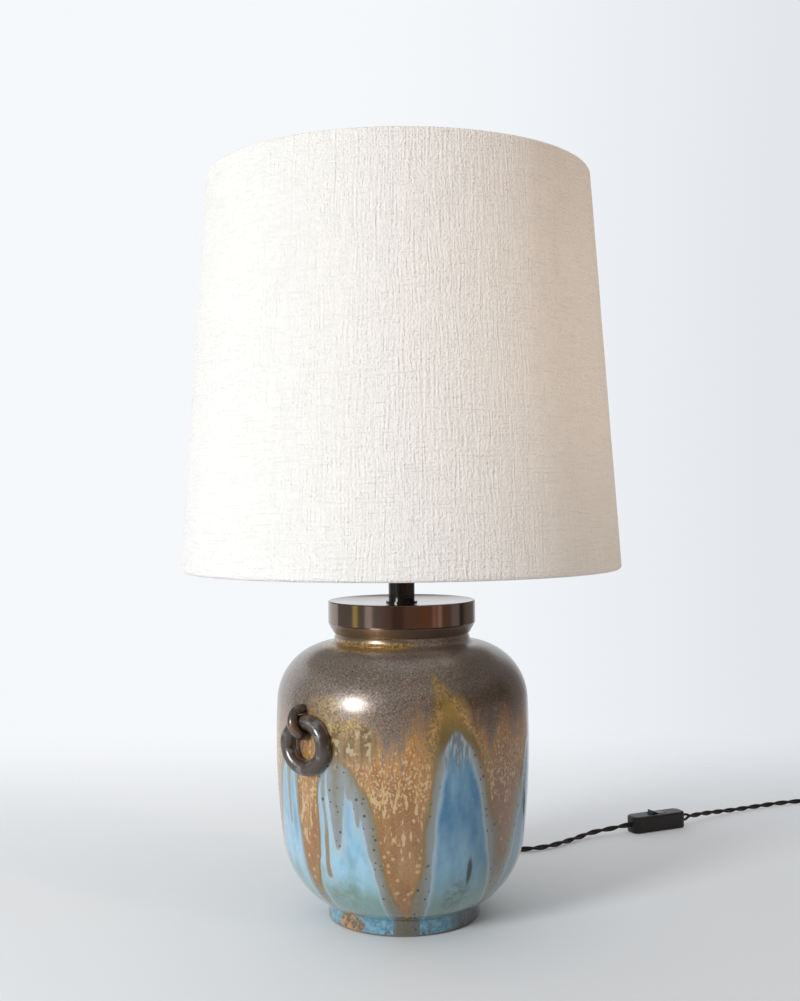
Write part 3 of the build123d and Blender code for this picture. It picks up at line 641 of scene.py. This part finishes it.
glaze, shader, where = new_finish("run_glaze", {"IOR": 1.55})
spot = parts_of(where)
runny = stretched(where, (1.0, 1.0, 0.35))
streaky = stretched(where, (1.0, 1.0, 0.14))
around = times(angle_round(spot), 180 / pi)
level = times(spot["Z"], mm_in_metre)
sway = swing(cloud(runny, 32.0, 1.0), 6.0)
loose_around = plus(around, sway, swing(cloud(runny, 150.0), 1.8))
loose_level = plus(level, swing(cloud(where, 38.0), 14.0))

# Panels: foot middle, apex middle, foot half, apex half (degrees round from the front), apex level
runs = None
for panel in (
    (30.0, 22.0, 18.4, 6.2, 188.0),
    (-26.0, -31.0, 17.2, 7.0, 158.0),
    (-67.0, -58.5, 15.0, 5.5, 168.0),
    (74.0, 78.0, 22.0, 8.0, 165.0),
    (112.0, 108.0, 14.0, 6.0, 183.0),
    (146.0, 150.0, 17.0, 8.0, 160.0),
    (182.0, 178.0, 15.0, 6.0, 190.0),
    (-146.0, -150.0, 16.0, 7.0, 168.0),
    (-108.0, -103.0, 17.0, 7.0, 178.0),
):
    shape = placed(panel_group, loose_around, loose_level, *panel)
    runs = shape if runs is None else work("MINIMUM", runs, shape)
# Drips: middle, tip level, root level, half width at the tip and at the root
outside = runs
for drip in (
    (-30.0, 84.0, 136.0, 0.9, 3.8),
    (-20.8, 105.0, 150.0, 1.0, 3.4),
    (-29.4, 138.0, 158.0, 2.2, 3.8),
    (-22.5, 128.0, 158.0, 3.0, 5.0),
    (-35.6, 58.0, 112.0, 1.5, 0.8),
    (-60.0, 97.0, 168.0, 1.1, 2.4),
    (115.0, 120.0, 182.0, 1.8, 4.0),
    (143.0, 118.0, 165.0, 1.5, 3.4),
    (176.0, 95.0, 188.0, 1.9, 3.6),
    (-153.0, 88.0, 168.0, 1.7, 3.6),
    (-104.0, 112.0, 175.0, 2.0, 4.0),
):
    shape = placed(drip_group, loose_around, level, *drip)
    outside = work("SMOOTH_MAX", outside, shape, 1.5)

# Blue base glaze: deeper high in a panel, clouded, greener towards the foot, greyer at an apex
drift = cloud(runny, 46.0, 3.0, 0.6)
mottle = cloud(where, 210.0, 3.0, 0.65)
streak = cloud(streaky, 95.0, 3.0, 0.6)
# Painted shade: over the jar's right side the blue is painted deeper and darker, with fainter pale
# streaks.
right_side_shade = times(step(around, -8.0, 8.0), step(around, 165.0, 120.0))
deep = plus(times(step(level, 60.0, 165.0), 0.6), swing(drift, 2.6))
deep = plus(deep, times(right_side_shade, 0.35))
blue = mingle(deep, (0.33, 0.57, 0.72), (0.048, 0.21, 0.43))
blue = over(blue, (0.18, 0.42, 0.58), step(mottle, 0.45, 0.75), 0.5)
blue = over(blue, (0.44, 0.66, 0.78), step(streak, 0.52, 0.70), between(right_side_shade, 0.35, 0.12))
blue = over(blue, (0.03, 0.12, 0.20), right_side_shade, 0.38)
green = step(plus(level, times(drift, -90.0)), 34.0, -12.0)
blue = over(blue, (0.20, 0.33, 0.29), green, 0.85)
right_moss = placed(blot_group, loose_around, loose_level, 26.0, 40.0, 8.0, 26.0)
blue = over(blue, (0.10, 0.15, 0.11), right_moss, step(mottle, 0.36, 0.60), 0.6)
left_moss = placed(blot_group, loose_around, loose_level, -30.0, 38.0, 16.0, 24.0)
blue = over(blue, (0.16, 0.20, 0.13), left_moss, step(mottle, 0.36, 0.66), 0.45)
crawl = placed(blot_group, loose_around, level, 30.0, 64.0, 2.2, 16.0)
blue = over(blue, (0.015, 0.024, 0.042), crawl, 0.95)
apex = plus(level, swing(cloud(streaky, 230.0, 2.0, 0.6), 70.0))
apex = times(step(apex, 148.0, 168.0), step(level, 142.0, 160.0))
apex_threads = step(cloud(streaky, 430.0, 2.0, 0.6), 0.44, 0.58)
apex_grey = mingle(apex_threads, (0.15, 0.18, 0.18), (0.33, 0.42, 0.47))
blue = over(blue, apex_grey, apex, 0.85)
rim = times(step(outside, -5.5, -0.9), less(0.65, times(apex, 0.6)))
paint = mingle(rim, blue, (0.40, 0.50, 0.54))

# Margin of the runs: grey and thin, with burst pinholes, olive in the thinnest drip
skin = flat_place(times(around, mm_in_degree), level)
hole_away, hole_chance = dots(skin, 0.125)
hole_size = between(work("FRACT", times(hole_chance["Red"], 7.0)), 0.11, 0.22)
pinhole = step(hole_away, hole_size, less(hole_size, 0.09))
pinhole = times(pinhole, work("GREATER_THAN", hole_chance["Red"], 0.42))
margin = step(outside, -0.9, 0.7)
edge = plus(outside, swing(drift, 6.0))
grey = mingle(step(edge, 0.5, 8.0), (0.255, 0.28, 0.285), (0.20, 0.19, 0.145))
grey = over(grey, (0.30, 0.33, 0.32), step(mottle, 0.5, 0.7), 0.35)
thin_drip = placed(blot_group, around, level, -35.6, 76.0, 4.0, 34.0)
grey = over(grey, (0.24, 0.185, 0.075), thin_drip, 0.7)
grey = over(grey, (0.030, 0.028, 0.026), pinhole, 0.85)
paint = mingle(margin, paint, grey)

# Inside the margin: olive and ochre, wider high up, then the core of the run. A run ends above
# the foot. The one beside the handle has hardly any margin, and two others have a broad one.
high = step(level, 150.0, 205.0)
depth = work("DIVIDE", runs, plus(1.0, times(high, 1.1)))
depth = less(depth, times(work("MAXIMUM", less(75.0, level), 0.0), 0.16))
marginless = placed(blot_group, loose_around, level, -44.0, 105.0, 10.0, 110.0)
depth = plus(depth, times(marginless, 8.0))
for broad_margin in ((-16.0, 95.0, 9.0, 80.0), (54.0, 80.0, 20.0, 95.0)):
    depth = less(depth, times(placed(blot_group, around, level, *broad_margin), 4.5))
depth = plus(depth, swing(cloud(runny, 70.0, 3.0, 0.6), 5.0))
ochre = mingle(cloud(streaky, 160.0), (0.17, 0.12, 0.042), (0.29, 0.175, 0.055))
paint = mingle(step(depth, 4.5, 7.5), paint, ochre)
brown = mingle(step(streak, 0.38, 0.66), (0.28, 0.125, 0.033), (0.37, 0.20, 0.075))
brown = over(brown, (0.23, 0.14, 0.09), step(cloud(streaky, 60.0), 0.50, 0.72), 0.45)
rosy = placed(blot_group, loose_around, level, 48.0, 115.0, 17.0, 110.0)
brown = over(brown, (0.22, 0.13, 0.095), rosy, 0.65)
speck = cloud(where, 620.0, 2.0, 0.7)
brown = over(brown, (0.48, 0.31, 0.15), step(speck, 0.50, 0.62), 0.35)

# Shoulder: taupe with a fine speckle, ending in streaks over a zone of fiery orange
taupe = mingle(cloud(where, 24.0), (0.16, 0.13, 0.112), (0.225, 0.187, 0.165))
taupe = over(taupe, (0.085, 0.066, 0.056), step(speck, 0.47, 0.33), 0.8)
taupe = over(taupe, (0.40, 0.31, 0.22), step(speck, 0.52, 0.66), 0.8)
# Painted shade: the shoulder's taupe is painted darker over the jar's right side.
right_shoulder_shade = placed(blot_group, loose_around, loose_level, 46.0, 215.0, 34.0, 48.0)
taupe = over(taupe, (0.07, 0.05, 0.04), right_shoulder_shade, 0.55)
pale = placed(blot_group, loose_around, loose_level, 24.0, 238.0, 11.0, 13.0)
taupe = over(taupe, (0.33, 0.28, 0.22), pale, step(streak, 0.42, 0.66), 0.6)
ending = plus(level, swing(streak, 105.0))
embers = step(cloud(stretched(where, (1.0, 1.0, 0.3)), 260.0, 4.0, 0.75), 0.40, 0.56)
fire = times(step(ending, 128.0, 160.0), embers, between(rosy, 1.0, 0.4))
brown = over(brown, (0.47, 0.235, 0.06), fire, 0.85)
lilac = step(cloud(streaky, 170.0, 4.0, 0.75), 0.52, 0.62)
brown = over(brown, (0.17, 0.135, 0.125), step(ending, 140.0, 168.0), lilac, 0.8)
ragged = plus(ending, swing(speck, 85.0))
cover = step(ragged, 172.0, 190.0)
brown = mingle(cover, brown, taupe)

# Cream crystals: dust under the shoulder, columns below it, single round spots near the end
dust = cloud(stretched(where, (1.0, 1.0, 0.6)), 470.0, 3.0, 0.6)
dusted = times(step(ending, 82.0, 132.0), step(ragged, 194.0, 156.0))
dust_bar = less(0.74, times(dusted, 0.215))
crystal = step(dust, dust_bar, plus(dust_bar, 0.05))
column = cloud(stretched(where, (1.0, 1.0, 0.36)), 250.0, 2.0, 0.5)
crowded = times(step(ending, 46.0, 110.0), step(ending, 160.0, 124.0))
column_bar = less(0.76, times(crowded, between(rosy, 0.205, 0.15)))
column = step(column, column_bar, plus(column_bar, 0.04))
crystal = work("MAXIMUM", crystal, column)
spot_away, spot_chance = dots(skin, 0.16)
few = work("GREATER_THAN", spot_chance["Green"], 0.55)
near_end = times(step(level, 34.0, 44.0), step(level, 110.0, 80.0))
spotted = times(step(spot_away, 0.30, 0.20), few, near_end, 0.8)
crystal = work("MAXIMUM", crystal, spotted)
brown = over(brown, (0.60, 0.42, 0.22), crystal, 0.85)
gold = step(cloud(where, 480.0, 3.0, 0.7), 0.52, 0.60)
brown = over(brown, (0.38, 0.215, 0.065), gold, step(ending, 232.0, 182.0), high, 0.7)
core = step(depth, 7.0, 11.0)
paint = mingle(core, paint, brown)

# Olive arch over the right panel, flecked with gold towards its edge
flecks = cloud(where, 420.0, 3.0, 0.7)
arch = placed(panel_group, loose_around, loose_level, 42.0, 15.5, 44.0, 4.0, 231.0)
arch_gold = mingle(step(flecks, 0.40, 0.60), (0.20, 0.135, 0.06), (0.46, 0.29, 0.105))
olive = mingle(step(level, 178.0, 205.0), (0.145, 0.105, 0.035), (0.28, 0.19, 0.055))
olive = mingle(step(arch, -13.0, -4.0), olive, arch_gold)
ragged_arch = plus(arch, swing(flecks, 16.0))
near_apex = plus(outside, times(step(level, 160.0, 186.0), 5.0))
arch_share = times(step(ragged_arch, 3.0, -3.0), step(near_apex, 1.0, 5.0))
paint = over(paint, olive, arch_share, step(level, 146.0, 178.0))

# Ochre patch with gold and cream blobs beside the handle, gold on the collar under the cap
patch = placed(blot_group, loose_around, loose_level, -24.5, 171.0, 18.0, 32.0)
patch = plus(patch, swing(flecks, 1.3), swing(streak, 1.0))
patch = times(step(patch, 0.22, 0.60), step(loose_level, 146.0, 172.0))
patch_streak = step(cloud(streaky, 260.0), 0.35, 0.65)
patch_paint = mingle(patch_streak, (0.13, 0.078, 0.022), (0.27, 0.17, 0.06))
patch_gold = times(step(flecks, 0.49, 0.60), step(loose_level, 166.0, 190.0))
patch_paint = over(patch_paint, (0.50, 0.35, 0.14), patch_gold, 0.8)
blob = step(cloud(stretched(where, (1.0, 1.0, 0.7)), 190.0, 1.0), 0.57, 0.63)
patch_paint = over(patch_paint, (0.50, 0.40, 0.24), blob, step(loose_level, 194.0, 182.0), 0.85)
paint = over(paint, patch_paint, patch, step(outside, 1.0, 4.0), 0.92)
glint = placed(blot_group, loose_around, loose_level, -36.0, 202.0, 12.0, 17.0)
paint = over(paint, (0.50, 0.35, 0.14), glint, step(flecks, 0.44, 0.58), 0.75)
collar = placed(blot_group, loose_around, level, -42.0, 252.0, 66.0, 7.5)
gilt = mingle(step(flecks, 0.42, 0.60), (0.19, 0.11, 0.045), (0.52, 0.32, 0.12))
# Painted shade: the collar's gilt turns dark brown on the neck just under the cap's overhanging edge.
gilt = mingle(step(level, 252.0, 255.0), gilt, (0.13, 0.085, 0.05))
paint = over(paint, gilt, step(plus(collar, swing(flecks, 0.8)), 0.15, 0.5))

# Foot: bronze chip at the left, olive patches, dark bare clay where it stands
on_foot = step(level, foot_top + 1.0, foot_top - 1.0)
foot_blue = mingle(step(mottle, 0.40, 0.62), (0.19, 0.39, 0.50), (0.07, 0.21, 0.36))
# Painted shade: the foot's blue turns dark grey over the jar's right side.
foot_blue = mingle(step(loose_around, 32.0, 46.0), foot_blue, (0.075, 0.09, 0.095))
paint = over(paint, foot_blue, on_foot, less(1.0, margin), 0.85)
paint = over(paint, (0.065, 0.07, 0.07), on_foot, margin, 0.6)
chip = placed(blot_group, loose_around, level, -42.0, 6.5, 15.0, 9.0)
rust = mingle(step(mottle, 0.42, 0.6), (0.14, 0.075, 0.04), (0.48, 0.28, 0.10))
paint = over(paint, rust, step(chip, 0.1, 0.4), on_foot, step(mottle, 0.34, 0.44))
stain = step(cloud(where, 75.0, 3.0, 0.6), 0.52, 0.60)
paint = over(paint, (0.085, 0.08, 0.06), on_foot, stain, step(level, 12.0, 4.0), 0.85)
facing = parts_of(glaze.node_tree.nodes.new("ShaderNodeNewGeometry").outputs["Normal"])["Z"]
underneath = times(step(facing, -0.6, -0.8), step(level, 9.0, 7.5))
bare = step(plus(level, times(drift, -2.5)), 1.0, -0.3)
bare = work("MAXIMUM", underneath, bare)
clay = mingle(mottle, (0.12, 0.105, 0.09), (0.22, 0.19, 0.155))
paint = mingle(bare, paint, clay)
# Painted shade: a dark line in the crease where the body meets the foot.
crease_shade = step(work("ABSOLUTE", less(level, foot_top - 0.1)), 1.3, 0.2)
paint = over(paint, (0.05, 0.065, 0.075), crease_shade, 0.6)
feed(paint, shader["Base Color"])

# Gloss and relief: the blue is glassy, the runs are thicker and more satin, bare clay is dull
satin = step(depth, 6.0, 13.0)
gloss = plus(0.12, times(satin, plus(0.08, times(speck, 0.22))))
feed(plus(gloss, times(bare, 0.5)), shader["Roughness"])
feed(between(satin, 0.09, 0.20), shader["Coat Roughness"])
feed(times(cover, core, 0.4), shader["Metallic"])
feed(times(less(1.0, bare), 0.6), shader["Coat Weight"])
thick = times(step(outside, -2.0, 6.0), 0.5)
thick = plus(thick, times(crystal, satin, 0.06), times(speck, satin, 0.05))
thick = less(thick, times(pinhole, margin, less(1.0, satin), 0.2))
thick = plus(thick, times(cloud(where, 16.0, 1.0), 1.5))
feed(relief(thick, 0.0008), shader["Normal"])

jar = new_piece("jar", jar_mesh, glaze, "base")
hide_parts("stoneware_jar")

# Ring handles: a roll of clay closed into a ring lies on the wall at front left and back right,
# and a short roll bent over its top holds it. Both were luted on and fired fast in dark glaze.
handle_angle = 44
handle_cock = 8
handle_level = 0.1704
ring_radius = 0.0195
ring_stock = 0.0132
clay_sink = 0.0018
lug_clearance = 0.0003
lug_stock = 0.0084
lug_lean = 15
root_sink = 0.003
unevenness = 0.0005
dents_in_metre = 110
lug_bow = (ring_stock + lug_stock) / 2 + lug_clearance
lug_root = ring_stock / 2 + root_sink
handle_slope = asin((handle_level - belly_level) / side_bow)
handle_reach = side_middle + side_bow * cos(handle_slope)
handle_places = []
for turn in (270 - handle_angle, 90 - handle_angle):
    outward = Vector((cos(radians(turn)), sin(radians(turn)), 0))
    cocked = radians(turn + handle_cock)
    across = Vector((-sin(cocked), cos(cocked), 0))
    square = Vector((cos(cocked) * cos(handle_slope), sin(cocked) * cos(handle_slope), sin(handle_slope)))
    middle = outward * handle_reach + Vector((0, 0, handle_level)) + square * (ring_stock / 2 - clay_sink)
    turned_to = Matrix((across, square.cross(across), square)).transposed().to_4x4()
    handle_places.append(Matrix.Translation(middle) @ turned_to)


def luted_pair(bm, name):
    """Put one clay piece at both handles, with the slight unevenness of hand work."""
    bmesh.ops.recalc_face_normals(bm, faces=bm.faces[:])
    bm.normal_update()
    for vertex in bm.verts:
        vertex.co += vertex.normal * noise.noise(vertex.co * dents_in_metre) * unevenness
    first = bm.verts[:]
    twin = bmesh.ops.duplicate(bm, geom=bm.verts[:] + bm.edges[:] + bm.faces[:])["geom"]
    bmesh.ops.transform(bm, matrix=handle_places[0], verts=first)
    bmesh.ops.transform(bm, matrix=handle_places[1], verts=only(bmesh.types.BMVert, twin))
    return new_mesh(bm, name)


dark_glaze, shader, where = new_finish(
    "dark_glaze", {"IOR": 1.65, "Coat Weight": 0.5, "Coat Roughness": 0.10}
)
worn = cloud(where, 85.0, 3.0, 0.6)
dusk = mingle(worn, (0.020, 0.014, 0.011), (0.070, 0.045, 0.032))
dusk = over(dusk, (0.14, 0.135, 0.13), step(cloud(where, 140.0, 2.0), 0.54, 0.68))
dusk = over(dusk, (0.18, 0.088, 0.042), step(cloud(where, 60.0, 3.0), 0.56, 0.66), 0.7)
feed(dusk, shader["Base Color"])
feed(between(worn, 0.24, 0.42), shader["Roughness"])
feed(relief(cloud(where, 260.0, 2.0), 0.0002), shader["Normal"])

bm = bmesh.new()
section = Matrix.Translation((ring_radius, 0, 0)) @ Matrix.Rotation(pi / 2, 4, "X")
bmesh.ops.create_circle(bm, radius=ring_stock / 2, segments=32, matrix=section)
spun(bm, 80)
rings_mesh = luted_pair(bm, "ring_handles")
ring_handles = new_piece("ring_handles", rings_mesh, dark_glaze, "base")
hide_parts("handle_rings")

bm = bmesh.new()
section = Matrix.Translation((ring_radius + lug_bow, 0, -lug_root))
bmesh.ops.create_circle(bm, radius=lug_stock / 2, segments=24, matrix=section)
risen = bmesh.ops.extrude_edge_only(bm, edges=bm.edges[:])["geom"]
bmesh.ops.translate(bm, vec=(0, 0, lug_root), verts=only(bmesh.types.BMVert, risen))
end = only((bmesh.types.BMVert, bmesh.types.BMEdge), risen)
bent = bmesh.ops.spin(bm, geom=end, cent=(ring_radius, 0, 0), axis=(0, 1, 0), angle=-pi, steps=24)
sunk = bmesh.ops.extrude_edge_only(bm, edges=only(bmesh.types.BMEdge, bent["geom_last"]))["geom"]
bmesh.ops.translate(bm, vec=(0, 0, -lug_root), verts=only(bmesh.types.BMVert, sunk))
leaning = Matrix.Rotation(pi / 2 + radians(lug_lean), 3, "Z")
bmesh.ops.rotate(bm, cent=(0, 0, 0), matrix=leaning, verts=bm.verts[:])
lugs = new_piece("lugs", luted_pair(bm, "lugs"), dark_glaze, "base")
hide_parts("handle_lugs")

# Cap: turned from bronze, patinated dark brown and polished. It sleeves the neck on a gasket, and
# the threaded tube draws it down against a clamp bar under the shoulder.
cap_radius = 0.0676
cap_rim = 0.2866
cap_land = 0.2844
land_radius = 0.0165
cap_edge = 0.0008
cap_band_low = 0.2663
band_edge = 0.0004
cap_low = 0.2573
cap_low_radius = 0.0622
cap_bore = 0.0606
cap_under = 0.279
tube_hole = 0.0052
cone_blend = 0.001
sharp_angle = 20
dish_reach = cap_radius - cap_edge - land_radius
dish_bow = (dish_reach**2 + (cap_rim - cap_land) ** 2) / (2 * (cap_rim - cap_land))
bm = bmesh.new()
tip = pen(bm, (tube_hole, cap_land))
tip = line_to(bm, tip, (land_radius, cap_land), 3)
tip = arc_about(bm, tip, (land_radius, cap_land + dish_bow), degrees(asin(dish_reach / dish_bow)), 16)
tip = line_to(bm, tip, (cap_radius - 0.4 * cap_edge, cap_rim - 0.2 * cap_edge))
tip = line_to(bm, tip, (cap_radius, cap_rim - cap_edge))
tip = line_to(bm, tip, (cap_radius, cap_band_low + band_edge), 6)
tip = line_to(bm, tip, (cap_radius - band_edge, cap_band_low - band_edge))
tip = line_to(bm, tip, (cap_low_radius, cap_low), 4)
tip = line_to(bm, tip, (cap_bore, cap_low))
tip = line_to(bm, tip, (cap_bore, cap_under), 3)
tip = line_to(bm, tip, (tube_hole, cap_under), 3)
tip = line_to(bm, tip, (tube_hole, cap_land))
spun(bm, 180)
cap_mesh = new_mesh(bm, "cap")

bronze, shader, where = new_finish("patinated_bronze", {"Metallic": 1.0})
spot = parts_of(where)
from_axis = {"X": length_of(spot["X"], spot["Y"]), "Z": spot["Z"]}
turning = cloud(put("ShaderNodeCombineXYZ", from_axis).outputs["Vector"], 2600.0, 2.0, 0.6)
patina = cloud(where, 48.0, 3.0, 0.6)
cone = step(spot["Z"], cap_band_low, cap_band_low - cone_blend)
brown_metal = mingle(patina, (0.22, 0.175, 0.15), (0.27, 0.20, 0.16))
feed(over(brown_metal, (0.46, 0.37, 0.30), cone, 0.7), shader["Base Color"])
feed(plus(between(patina, 0.07, 0.13), times(cone, 0.22)), shader["Roughness"])
feed(relief(turning, 0.000004), shader["Normal"])
cap = new_piece("cap", cap_mesh, bronze, "base")
cap_mesh.set_sharp_from_angle(angle=radians(sharp_angle))
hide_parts("mouth_cap")

grain_group, takes, gives = new_group("surface_grain", ["Fineness"], ["Tone", "Height"])
grain_group.interface.new_socket("Where", in_out="INPUT", socket_type="NodeSocketVector")
where = grain_group.nodes["Group Input"].outputs["Where"]
fine = cloud(where, takes["Fineness"], 3.0, 0.65)
coarse = cloud(where, times(takes["Fineness"], 0.07))
feed(between(0.4, coarse, fine), gives["Tone"])
feed(fine, gives["Height"])


def plain_finish(name, dark, light, roughness, metallic=0.0, fineness=1500.0, depth=0.00003):
    """A finish whose colour wanders between two tones over a fine grain."""
    material, shader, where = new_finish(name, {"Roughness": roughness, "Metallic": metallic})
    grain = put("ShaderNodeGroup", {"Where": where, "Fineness": fineness}, node_tree=grain_group).outputs
    feed(mingle(grain["Tone"], dark, light), shader["Base Color"])
    feed(relief(grain["Height"], depth), shader["Normal"])
    return material


zinc = plain_finish("zinc", (0.48, 0.48, 0.46), (0.66, 0.66, 0.64), 0.38, 1.0, 900.0)
dress(plain_finish("gasket_rubber", (0.02, 0.02, 0.02), (0.05, 0.05, 0.05), 0.8), "cap_gasket")
dress(zinc, "clamp_bar", "clamp_washer", "clamp_nut", "threaded_tube")

# Stem: a black enamelled tube on a thin washer. It stands on the cap's land round the threaded
# tube and carries the lampholder.
enamel = plain_finish(
    "black_enamel", (0.010, 0.008, 0.007), (0.022, 0.017, 0.013), 0.16, 0.0, 700.0, 0.00001
)
dress(enamel, "stem", "stem_washer")

# Lampholder: two black plastic shells screwed together round a ceramic insert with a brass screw
# shell. Its flange carries the shade's fitter ring, held down by a ring nut.
holder_black = plain_finish("holder_plastic", (0.016, 0.016, 0.016), (0.030, 0.030, 0.030), 0.35)
brass = plain_finish("contact_brass", (0.62, 0.44, 0.17), (0.78, 0.58, 0.27), 0.30, 1.0, 900.0)
dress(holder_black, "holder_base", "holder_sleeve", "shade_ring_nut")
dress(plain_finish("holder_ceramic", (0.74, 0.72, 0.66), (0.86, 0.84, 0.79), 0.45), "holder_insert")
dress(brass, "holder_screws", "holder_contact", "holder_shell", "bulb_contact")

# Bulb: a blown opal globe cemented into an aluminium screw cap with a brass contact at its end.
# It is screwed into the lampholder's shell.
opal = plain_finish("opal_glass", (0.84, 0.83, 0.79), (0.92, 0.91, 0.88), 0.22, 0.0, 600.0, 0.00001)
dress(opal, "bulb_glass")
dress(plain_finish("bulb_metal", (0.58, 0.58, 0.57), (0.74, 0.74, 0.73), 0.30, 1.0, 900.0), "bulb_cap")

# Shade: slub cotton laminated to a stiff white liner, rolled over a wire ring at each end. Three
# wire arms from the lower ring carry a fitter ring, which sits on the lampholder's flange.
shade_low = 0.3153
shade_high = 0.6712
shade_low_radius = 0.200
shade_high_radius = 0.1748
cotton_thickness = 0.0006
hem_roll = 0.0031
hem_tuck = 0.010
shade_taper = (shade_high_radius - shade_low_radius) / (shade_high - shade_low)
shade_lean = degrees(atan(-shade_taper))
hem_inset = hem_roll / cos(radians(shade_lean))
low_roll = (shade_low_radius + shade_taper * hem_roll - hem_inset, shade_low + hem_roll)
high_roll = (shade_high_radius - shade_taper * hem_roll - hem_inset, shade_high - hem_roll)
wall_out = high_roll[0] + hem_roll * cos(radians(shade_lean))
wall_top = high_roll[1] + hem_roll * sin(radians(shade_lean))
bm = bmesh.new()
tip = pen(bm, (low_roll[0] - hem_roll, low_roll[1] + hem_tuck))
tip = line_to(bm, tip, (low_roll[0] - hem_roll, low_roll[1]), 3)
tip = arc_about(bm, tip, low_roll, 180 + shade_lean, 12)
tip = line_to(bm, tip, (wall_out, wall_top), 100)
tip = arc_about(bm, tip, high_roll, 180 - shade_lean, 12)
tip = line_to(bm, tip, (high_roll[0] - hem_roll, high_roll[1] - hem_tuck), 3)
spun(bm, 340)
cotton_mesh = new_mesh(bm, "cotton")
# Slubs draw the cloth in a little: long ripples up the shade, and small knots
ripple_depth = 0.0004
ripples_across = 75
ripples_up = 24
knot_depth = 0.0002
knots_in_metre = 240
for vertex in cotton_mesh.vertices:
    x, y, z = vertex.co
    out = Vector((x, y, 0)).normalized()
    ripple = noise.noise(Vector((x * ripples_across, y * ripples_across, z * ripples_up)))
    knot = noise.noise(vertex.co * knots_in_metre)
    vertex.co -= out * (ripple_depth * (ripple + 1) / 2 + knot_depth * (knot + 1) / 2)

# The cloth's coordinates are millimetres round the shade, at about half its height, and up. Its
# seam is at the back, and uneven tension pulls its threads out of line.
cloth_radius = 187.0
pull_reach = (5, 5, 0)
seam_start = pi - 0.045
seam_end = pi - 0.043
cotton, shader, where = new_finish(
    "slub_cotton",
    {"Roughness": 0.9, "Specular IOR Level": 0.15, "Sheen Weight": 0.15, "Sheen Roughness": 0.6},
)
spot = parts_of(where)
around = angle_round(spot)
cloth = flat_place(times(around, cloth_radius), times(spot["Z"], mm_in_metre))
pull = put("ShaderNodeTexNoise", {"Vector": cloth, "Scale": 0.022, "Detail": 1.0}).outputs["Color"]
pulled = {0: pull, 1: pull_reach, 2: cloth}
cloth = put("ShaderNodeVectorMath", pulled, operation="MULTIPLY_ADD").outputs[0]
warp = cloud(stretched(cloth, (0.52, 0.029, 1.0)), 1.0, 1.0, 0.5)
weft = cloud(stretched(cloth, (0.034, 0.54, 1.0)), 1.0, 1.0, 0.5)
nub = cloud(stretched(cloth, (0.46, 0.42, 1.0)), 1.0, 2.0, 0.6)
fibre = cloud(cloth, 1.6, 2.0, 0.6)
slub = plus(times(warp, 0.30), times(weft, 0.36))
slub = plus(slub, times(nub, 0.40), times(fibre, 0.12))
seam = step(work("ABSOLUTE", around), seam_start, seam_end)
# Painted shade: the cream is a little darker where the slub relief is low, in the weave's hollows.
cream = mingle(step(slub, 0.42, 0.76), (0.905, 0.902, 0.875), (0.945, 0.947, 0.925))
feed(cream, shader["Base Color"])
feed(relief(plus(slub, times(seam, 0.4)), 0.0034), shader["Normal"])
shade_cotton = new_piece("shade_cotton", cotton_mesh, cotton, "shade")
thickness = shade_cotton.modifiers.new("thickness", "SOLIDIFY")
thickness.thickness = cotton_thickness
thickness.offset = -1
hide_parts("shade_fabric")
dress(plain_finish("shade_laminate", (0.76, 0.73, 0.67), (0.85, 0.82, 0.76), 0.6), "shade_liner")
white_wire = plain_finish("white_wire", (0.80, 0.80, 0.78), (0.90, 0.90, 0.88), 0.35)
dress(white_wire, "shade_top_ring", "shade_frame")

# Bush: a black plastic nipple through the jar's back wall with a nut inside. It keeps the flex
# from chafing on the glaze.
black = (0.010, 0.009, 0.009)
worn_black = (0.026, 0.024, 0.023)
black_plastic = plain_finish("black_plastic", black, worn_black, 0.42, 0.0, 1800.0, 0.00005)
dress(black_plastic, "cord_bush", "bush_nut")

# Switch: two black plastic shells screwed together round brass terminals, with a rocker on a pin.
# It lies in the run of the flex, on the table.
dress(black_plastic, "switch_lower", "switch_upper")
dress(plain_finish("rocker_plastic", (0.009, 0.009, 0.009), (0.020, 0.019, 0.018), 0.28), "switch_rocker")
dress(zinc, "switch_screws")
dress(brass, "switch_terminals")

# Plug: a black moulded two-pin plug with nickelled pins. The spare flex beside it is coiled and
# held by a strap.
dress(black_plastic, "plug_body")
dress(plain_finish("nickel", (0.60, 0.57, 0.50), (0.74, 0.71, 0.64), 0.22, 1.0, 900.0), "plug_pins")
dress(plain_finish("tie_strap", (0.015, 0.015, 0.015), (0.04, 0.04, 0.04), 0.6), "coil_tie")
